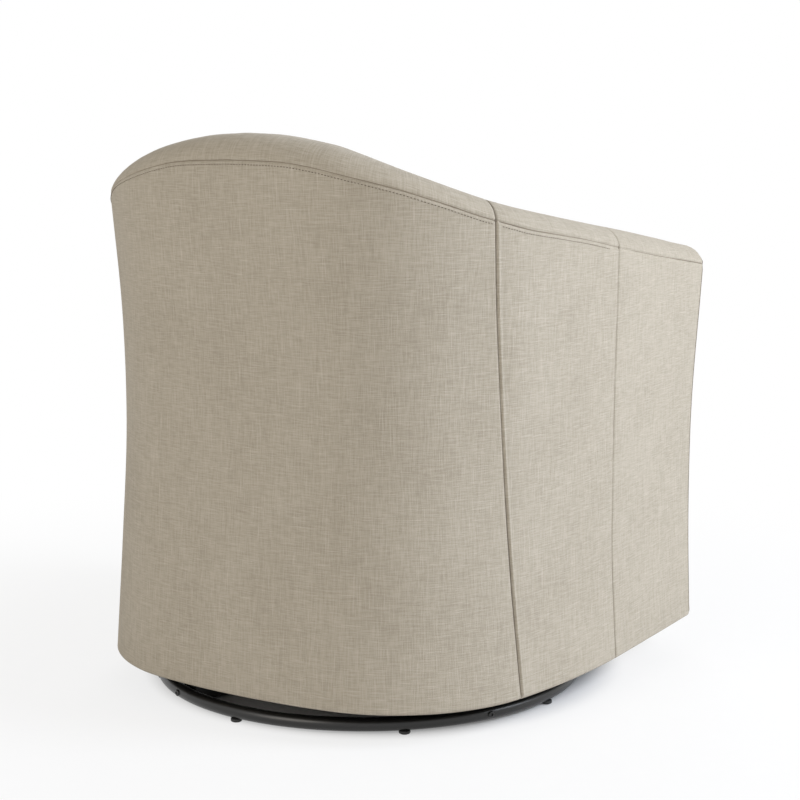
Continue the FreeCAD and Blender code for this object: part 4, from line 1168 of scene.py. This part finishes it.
# The frame: hardwood posts, rails and swivel rails, plywood boards, fibre board inside the arms, and elastic
# webbing over the seat and the back. The covers hide it, so most of it keeps its solids, with sawn and woven
# finishes. The posts and top rails are made again further down, inside the waist of the covers.
def wood_finish(name, low, high, stretch, offset, rough):
    wood, tree, shader = finish(name, rough, specular=0.3)
    spot = object_spot(tree)
    grain = speckle(tree, spot, stretch, offset, 0.25, 0.75, 6.0)
    pores = speckle(tree, spot, tuple(v * 6 for v in stretch), offset + 2, 0.5, 0.8)
    tone = sums(tree, "SUBTRACT", grain, sums(tree, "MULTIPLY", pores, 0.35))
    coloured(tree, shader, tone, (0.0, low), (1.0, high))
    embossed(tree, shader, grain, 0.0004)
    return wood


def webbing_finish():
    web, tree, shader = finish("elastic_webbing", 0.8, specular=0.2)
    spot = object_spot(tree)
    ribs = speckle(tree, spot, (380.0, 380.0, 900.0), 1.9, 0.35, 0.65)
    coloured(tree, shader, ribs, (0.0, (0.012, 0.011, 0.010)), (1.0, (0.05, 0.045, 0.04)))
    embossed(tree, shader, ribs, 0.0003)
    return web


def metal_finish(name, low, high, rough, metallic, grain, relief):
    metal, tree, shader = finish(name, rough, specular=0.5, metallic=metallic)
    spot = object_spot(tree)
    peel = speckle(tree, spot, (grain, grain, grain), 0.7, 0.3, 0.7)
    cloud = speckle(tree, spot, (14.0, 14.0, 14.0), 5.1, 0.3, 0.7, 4.0)
    coloured(tree, shader, mixed(tree, ((0.4, peel), (0.6, cloud))), (0.0, low), (1.0, high))
    embossed(tree, shader, peel, relief, 0.4)
    return metal


HARDWOOD = wood_finish("sawn_hardwood", (0.30, 0.17, 0.08), (0.62, 0.43, 0.24), (14.0, 14.0, 2.2), 1.0, 0.75)
PLYWOOD = wood_finish("plywood", (0.40, 0.25, 0.12), (0.68, 0.50, 0.30), (3.0, 16.0, 420.0), 4.0, 0.7)
FIBRE_BOARD = wood_finish("fibre_board", (0.12, 0.07, 0.035), (0.22, 0.14, 0.075), (160.0, 160.0, 160.0),
                          7.0, 0.6)
WEBBING = webbing_finish()
BLACK_STEEL = metal_finish("black_powder_coat", (0.0075, 0.0072, 0.0065), (0.0125, 0.012, 0.011), 0.32, 0.0,
                           900.0, 0.00004)
ZINC_STEEL = metal_finish("zinc_plate", (0.36, 0.36, 0.34), (0.58, 0.58, 0.56), 0.38, 1.0, 300.0, 0.00003)
BEARING_STEEL = metal_finish("bearing_steel", (0.52, 0.52, 0.53), (0.62, 0.62, 0.63), 0.12, 1.0,
                             200.0, 0.00001)
BLACK_PLASTIC = metal_finish("black_plastic", (0.010, 0.010, 0.010), (0.018, 0.018, 0.018), 0.55, 0.0,
                             1400.0, 0.00005)
SOLIDS = ((HARDWOOD, ("swivel_rail_left", "swivel_rail_right", "front_post_left", "front_post_right",
                      "front_rail")),
          (PLYWOOD, ("bottom_rim", "seat_rim")),
          (FIBRE_BOARD, ("inside_arm_board_left", "inside_arm_board_right")),
          (WEBBING, ("back_webbing", "seat_webbing_lengthwise", "seat_webbing_crosswise")),
          (BLACK_STEEL, ("base_cross_arms", "swivel_lower_plate", "swivel_upper_plate")),
          (ZINC_STEEL, ("swivel_eyelet", "lower_plate_bolts", "upper_plate_bolts", "ball_cage")))
for material, nodes in SOLIDS:
    for node in nodes:
        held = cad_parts[node].data.materials
        held.clear()
        held.append(material)


# The posts and top rails: sawn hardwood, housed into the bottom board and glued and stapled under the rails. They
# stand inside the waist of the covers, with eased edges.
POST_AT = ((0.141, "back_posts"), (0.395, "side_posts"), (0.649, "side_posts"))
POST_HALF = 0.0225
POST_INNER = 0.064
POST_FOOT = 0.0652
RAIL_FAR = 0.0667
RAIL_HEIGHT = 0.018
RAIL_JOINT = 0.395
WOOD_EASE = 0.0008
WOOD_GAP = 0.004
POST_HEAD_GAP = 0.003
RAIL_DROP = 0.0008
RAIL_END_GAP = 0.0003
RAIL_FRONT_GAP = 0.030
BACK_RAIL_STEP = 0.02
ARM_RAIL_STEP = 0.025


def sawn_piece(name, work, nodes):
    made = piece_of(name, work, HARDWOOD)
    made.data.set_sharp_from_angle(angle=math.radians(30))
    ease = made.modifiers.new("eased_edges", "BEVEL")
    ease.width = WOOD_EASE
    ease.segments = 2
    ease.limit_method = "ANGLE"
    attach(made, "seat")
    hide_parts(*nodes)


def beam(work, rows):
    """Closed bar through rows of corners."""
    made = skin(work, rows, closed=True)
    work.faces.new(made[0])
    work.faces.new(made[-1])


def post(work, s):
    reach = []
    x, y, turn, side = hem(s)
    out = Vector((side * math.sin(turn), math.cos(turn), 0.0))
    along = Vector((out.y, -out.x, 0.0))
    origin = place(s, 0.0, 0.0)
    for near in (abs(s) - POST_HALF, abs(s), abs(s) + POST_HALF):
        drop = (origin - place(side * near, 0.0, 0.0)).dot(out)
        reach += [outer_depth(near, z) + drop for z in WAIST_Z]
    face = max(reach) + WOOD_GAP
    head = inner_seam_z(abs(s) + POST_HALF) - RAIL_HEIGHT - POST_HEAD_GAP
    rows = []
    for z in (POST_FOOT, head):
        rows.append([origin - out * d + along * w + Vector((0.0, 0.0, z))
                     for w, d in ((-POST_HALF, face), (POST_HALF, face), (POST_HALF, POST_INNER),
                                  (-POST_HALF, POST_INNER))])
    beam(work, rows)


def rail(work, marks, side):
    rows = []
    for s in marks:
        top = inner_seam_z(s) - RAIL_DROP
        foot = top - RAIL_HEIGHT
        near = max(outer_depth(abs(s), top), outer_depth(abs(s), foot)) + WOOD_GAP
        corners = ((near, foot), (near, top), (RAIL_FAR, top), (RAIL_FAR, foot))
        rows.append([place(side * s, depth, z) for depth, z in corners])
    beam(work, rows)


for group in ("back_posts", "side_posts"):
    posts = bmesh.new()
    for s, node in POST_AT:
        if node == group:
            post(posts, s)
            post(posts, -s)
    sawn_piece("sawn_" + group, posts, [group])
back_rail = bmesh.new()
rail(back_rail, steps_between(-RAIL_JOINT, RAIL_JOINT, BACK_RAIL_STEP), 1)
sawn_piece("sawn_top_rail_back", back_rail, ["top_rail_back"])
for side, word in SIDES:
    arm_rail = bmesh.new()
    rail(arm_rail, steps_between(RAIL_JOINT + RAIL_END_GAP, INNER_FRONT - RAIL_FRONT_GAP, ARM_RAIL_STEP), side)
    sawn_piece("sawn_arm_rail_" + word, arm_rail, ["arm_rail_" + word])


# The base: a round steel bar bent to a ring and powder-coated black, on eight plastic buttons, with a cap screw
# at each end of the two cross arms. The balls of the swivel run between its two plates.
RING_RADIUS = 0.310
RING_TUBE = 0.0095
RING_Z = 0.0145
RING_STEPS = 160
RING_SIDES = 24
GLIDE_COUNT = 8
GLIDE_TURN = math.radians(-2.5)
SCREW_TURN = math.radians(65.0)
BALL_RING = 0.070
BALL_RADIUS = 0.005
BALL_Z = (0.024 + 0.047) / 2
BALL_COUNT = 8
BALL_STEPS = 12
GLIDE_PROFILE = ((0.0, 0.0), (0.0045, 0.0), (0.0062, 0.0003), (0.0074, 0.0010), (0.0080, 0.0020),
                 (0.0080, 0.0032), (0.0078, 0.0048), (0.0050, 0.0060), (0.0, 0.0061))
SCREW_PROFILE = ((0.0, 0.0009), (0.0021, 0.0009), (0.0021, 0.0023), (0.0024, 0.0024), (0.0036, 0.0022),
                 (0.0045, 0.0015), (0.0050, 0.0004), (0.0050, 0.0), (0.0030, 0.0), (0.0030, -0.0100),
                 (0.0022, -0.0120), (0.0, -0.0120))


def turned(work, profile, lay, steps=24, socket=0):
    """Piece turned round its axis from radii and heights, laid in its place by a matrix."""
    rows = []
    for k in range(steps):
        turn = 2 * math.pi * k / steps
        row = []
        for j, (radius, height) in enumerate(profile[1:-1]):
            if j < socket:
                corner = (turn + math.pi / 6) % (math.pi / 3) - math.pi / 6
                radius = radius / math.cos(corner) * 0.95
            row.append(lay @ Vector((radius * math.cos(turn), radius * math.sin(turn), height)))
        rows.append(row)
    first = work.verts.new(lay @ Vector((0.0, 0.0, profile[0][1])))
    last = work.verts.new(lay @ Vector((0.0, 0.0, profile[-1][1])))
    verts = [[work.verts.new(p) for p in row] for row in rows]
    for k in range(steps):
        here, there = verts[k], verts[(k + 1) % steps]
        work.faces.new((first, here[0], there[0]))
        for j in range(len(here) - 1):
            work.faces.new((here[j], here[j + 1], there[j + 1], there[j]))
        work.faces.new((last, there[-1], here[-1]))


def metal_piece(name, work, material, body, node):
    made = piece_of(name, work, material)
    made.data.set_sharp_from_angle(angle=math.radians(42))
    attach(made, body)
    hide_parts(node)


def around(turn, radius, z):
    return Vector((radius * math.cos(turn), radius * math.sin(turn) + AXIS_Y, z))


bar = bmesh.new()
bends = []
sides = [2 * math.pi * j / RING_SIDES for j in range(RING_SIDES)]
for k in range(RING_STEPS):
    turn = 2 * math.pi * k / RING_STEPS
    bends.append([around(turn, RING_RADIUS + RING_TUBE * math.cos(a), RING_Z + RING_TUBE * math.sin(a))
                  for a in sides])
skin(bar, bends, closed=True, endless=True)
metal_piece("round_bar_ring", bar, BLACK_STEEL, "base", "base_ring")

buttons = bmesh.new()
for k in range(GLIDE_COUNT):
    turned(buttons, GLIDE_PROFILE, Matrix.Translation(around(GLIDE_TURN + 2 * math.pi * k / GLIDE_COUNT,
                                                             RING_RADIUS, 0.0)))
metal_piece("button_glides", buttons, BLACK_PLASTIC, "base", "base_glides")

screws = bmesh.new()
for k in range(4):
    turn = SCREW_TURN + math.pi / 2 * k
    lay = Matrix.Translation(around(turn, RING_RADIUS + RING_TUBE - 0.0001, RING_Z))
    lay = lay @ Matrix.Rotation(turn, 4, "Z") @ Matrix.Rotation(math.pi / 2, 4, "Y")
    turned(screws, SCREW_PROFILE, lay, socket=2)
metal_piece("ring_cap_screws", screws, BLACK_STEEL, "base", "ring_screws")

balls = bmesh.new()
arc = []
for j in range(BALL_STEPS + 1):
    turn = math.pi * j / BALL_STEPS
    arc.append((BALL_RADIUS * math.sin(turn), BALL_RADIUS * math.cos(turn)))
for k in range(BALL_COUNT):
    turned(balls, arc, Matrix.Translation(around(2 * math.pi * k / BALL_COUNT, BALL_RING, BALL_Z)), steps=20)
metal_piece("steel_balls", balls, BEARING_STEEL, "bearing", "bearing_balls")


# The studio: a pale floor that keeps the chair's shadow and is white further off, a large soft lamp beside the
# chair on the sitter's right, and broad weaker lamps behind it and in front of it, under an even sky.
FLOOR_REACH = 12.0
FLOOR_WHITE = 0.80
WHITE_FROM_TO = (0.5, 1.5)
UNDER_REACH = 0.30
UNDER_EDGE = 0.07
AMBIENT = 0.42


def looked_at(tree):
    """1 for rays from the camera, mirrors and glass, and 0 for those that carry light."""
    path = tree.nodes.new("ShaderNodeLightPath")
    seen = sums(tree, "MAXIMUM", path.outputs["Is Camera Ray"], path.outputs["Is Glossy Ray"])
    return sums(tree, "MAXIMUM", seen, path.outputs["Is Transmission Ray"])


def floor_finish():
    paper, tree, shader = finish("pale_floor", 0.9, specular=0.1)
    spot = object_spot(tree)
    fibre = speckle(tree, spot, (30.0, 30.0, 30.0), 2.0, 0.2, 0.8)
    coloured(tree, shader, fibre, (0.0, (0.86, 0.86, 0.86)), (1.0, (0.88, 0.88, 0.88)))
    length = tree.nodes.new("ShaderNodeVectorMath")
    length.operation = "LENGTH"
    tree.links.new(spot, length.inputs[0])
    far = cut_off(tree, length.outputs["Value"], *WHITE_FROM_TO, FLOOR_WHITE)
    near = cut_off(tree, length.outputs["Value"], UNDER_REACH, UNDER_REACH + UNDER_EDGE)
    white = tree.nodes.new("ShaderNodeEmission")
    white.inputs["Strength"].default_value = 1.0
    both = tree.nodes.new("ShaderNodeMixShader")
    tree.links.new(sums(tree, "MULTIPLY", looked_at(tree), sums(tree, "MULTIPLY", far, near)), both.inputs[0])
    tree.links.new(shader.outputs[0], both.inputs[1])
    tree.links.new(white.outputs[0], both.inputs[2])
    tree.links.new(both.outputs[0], tree.nodes["Material Output"].inputs["Surface"])
    return paper


paper = bmesh.new()
corners = [paper.verts.new((x * FLOOR_REACH, y * FLOOR_REACH, 0.0))
           for x, y in ((-1, -1), (1, -1), (1, 1), (-1, 1))]
paper.faces.new(corners)
floor = piece_of("studio_floor", paper, floor_finish())

world = bpy.data.worlds.new("studio_world")
world.use_nodes = True
sky = world.node_tree
level = sums(sky, "ADD", sums(sky, "MULTIPLY", looked_at(sky), 1.0 - AMBIENT), AMBIENT)
sky.nodes["Background"].inputs["Color"].default_value = (1.0, 1.0, 1.0, 1.0)
sky.links.new(level, sky.nodes["Background"].inputs["Strength"])
bpy.context.scene.world = world


def soft_lamp(name, spot, aim, size, watts, colour):
    lamp = bpy.data.lights.new(name, "AREA")
    lamp.shape = "DISK"
    lamp.size = size
    lamp.energy = watts
    lamp.color = colour
    held = bpy.data.objects.new(name, lamp)
    held.location = spot
    held.rotation_euler = (Vector(aim) - Vector(spot)).to_track_quat("-Z", "Y").to_euler()
    bpy.context.scene.collection.objects.link(held)


soft_lamp("key_lamp", (-3.2, -1.1, 2.2), (0.0, 0.0, 0.4), 1.8, 120.0, (0.95, 1.01, 1.12))
soft_lamp("fill_lamp", (0.6, 3.6, 1.9), (0.0, 0.0, 0.4), 2.2, 42.0, (1.0, 0.93, 0.84))
soft_lamp("front_lamp", (1.6, -3.4, 2.0), (0.0, 0.0, 0.4), 2.2, 38.0, (1.0, 1.0, 1.0))

# The camera stands behind the chair, to the sitter's right, a little above its top.
CAMERA_SPOT = Vector((-1.4726, 2.22465, 0.8100))
CAMERA_AIM = Vector((-0.0563, 0.03825, 0.41261))
CAMERA_LENS = 81.0
CAMERA_ROLL = math.radians(-0.247)
camera = bpy.data.cameras.new("studio_camera")
camera.lens = CAMERA_LENS
camera.sensor_width = 36.0
eye = bpy.data.objects.new("studio_camera", camera)
eye.matrix_world = (Matrix.Translation(CAMERA_SPOT)
                    @ (CAMERA_AIM - CAMERA_SPOT).to_track_quat("-Z", "Y").to_matrix().to_4x4()
                    @ Matrix.Rotation(CAMERA_ROLL, 4, "Z"))
bpy.context.scene.collection.objects.link(eye)
bpy.context.scene.camera = eye
bpy.context.scene.view_settings.view_transform = "Standard"
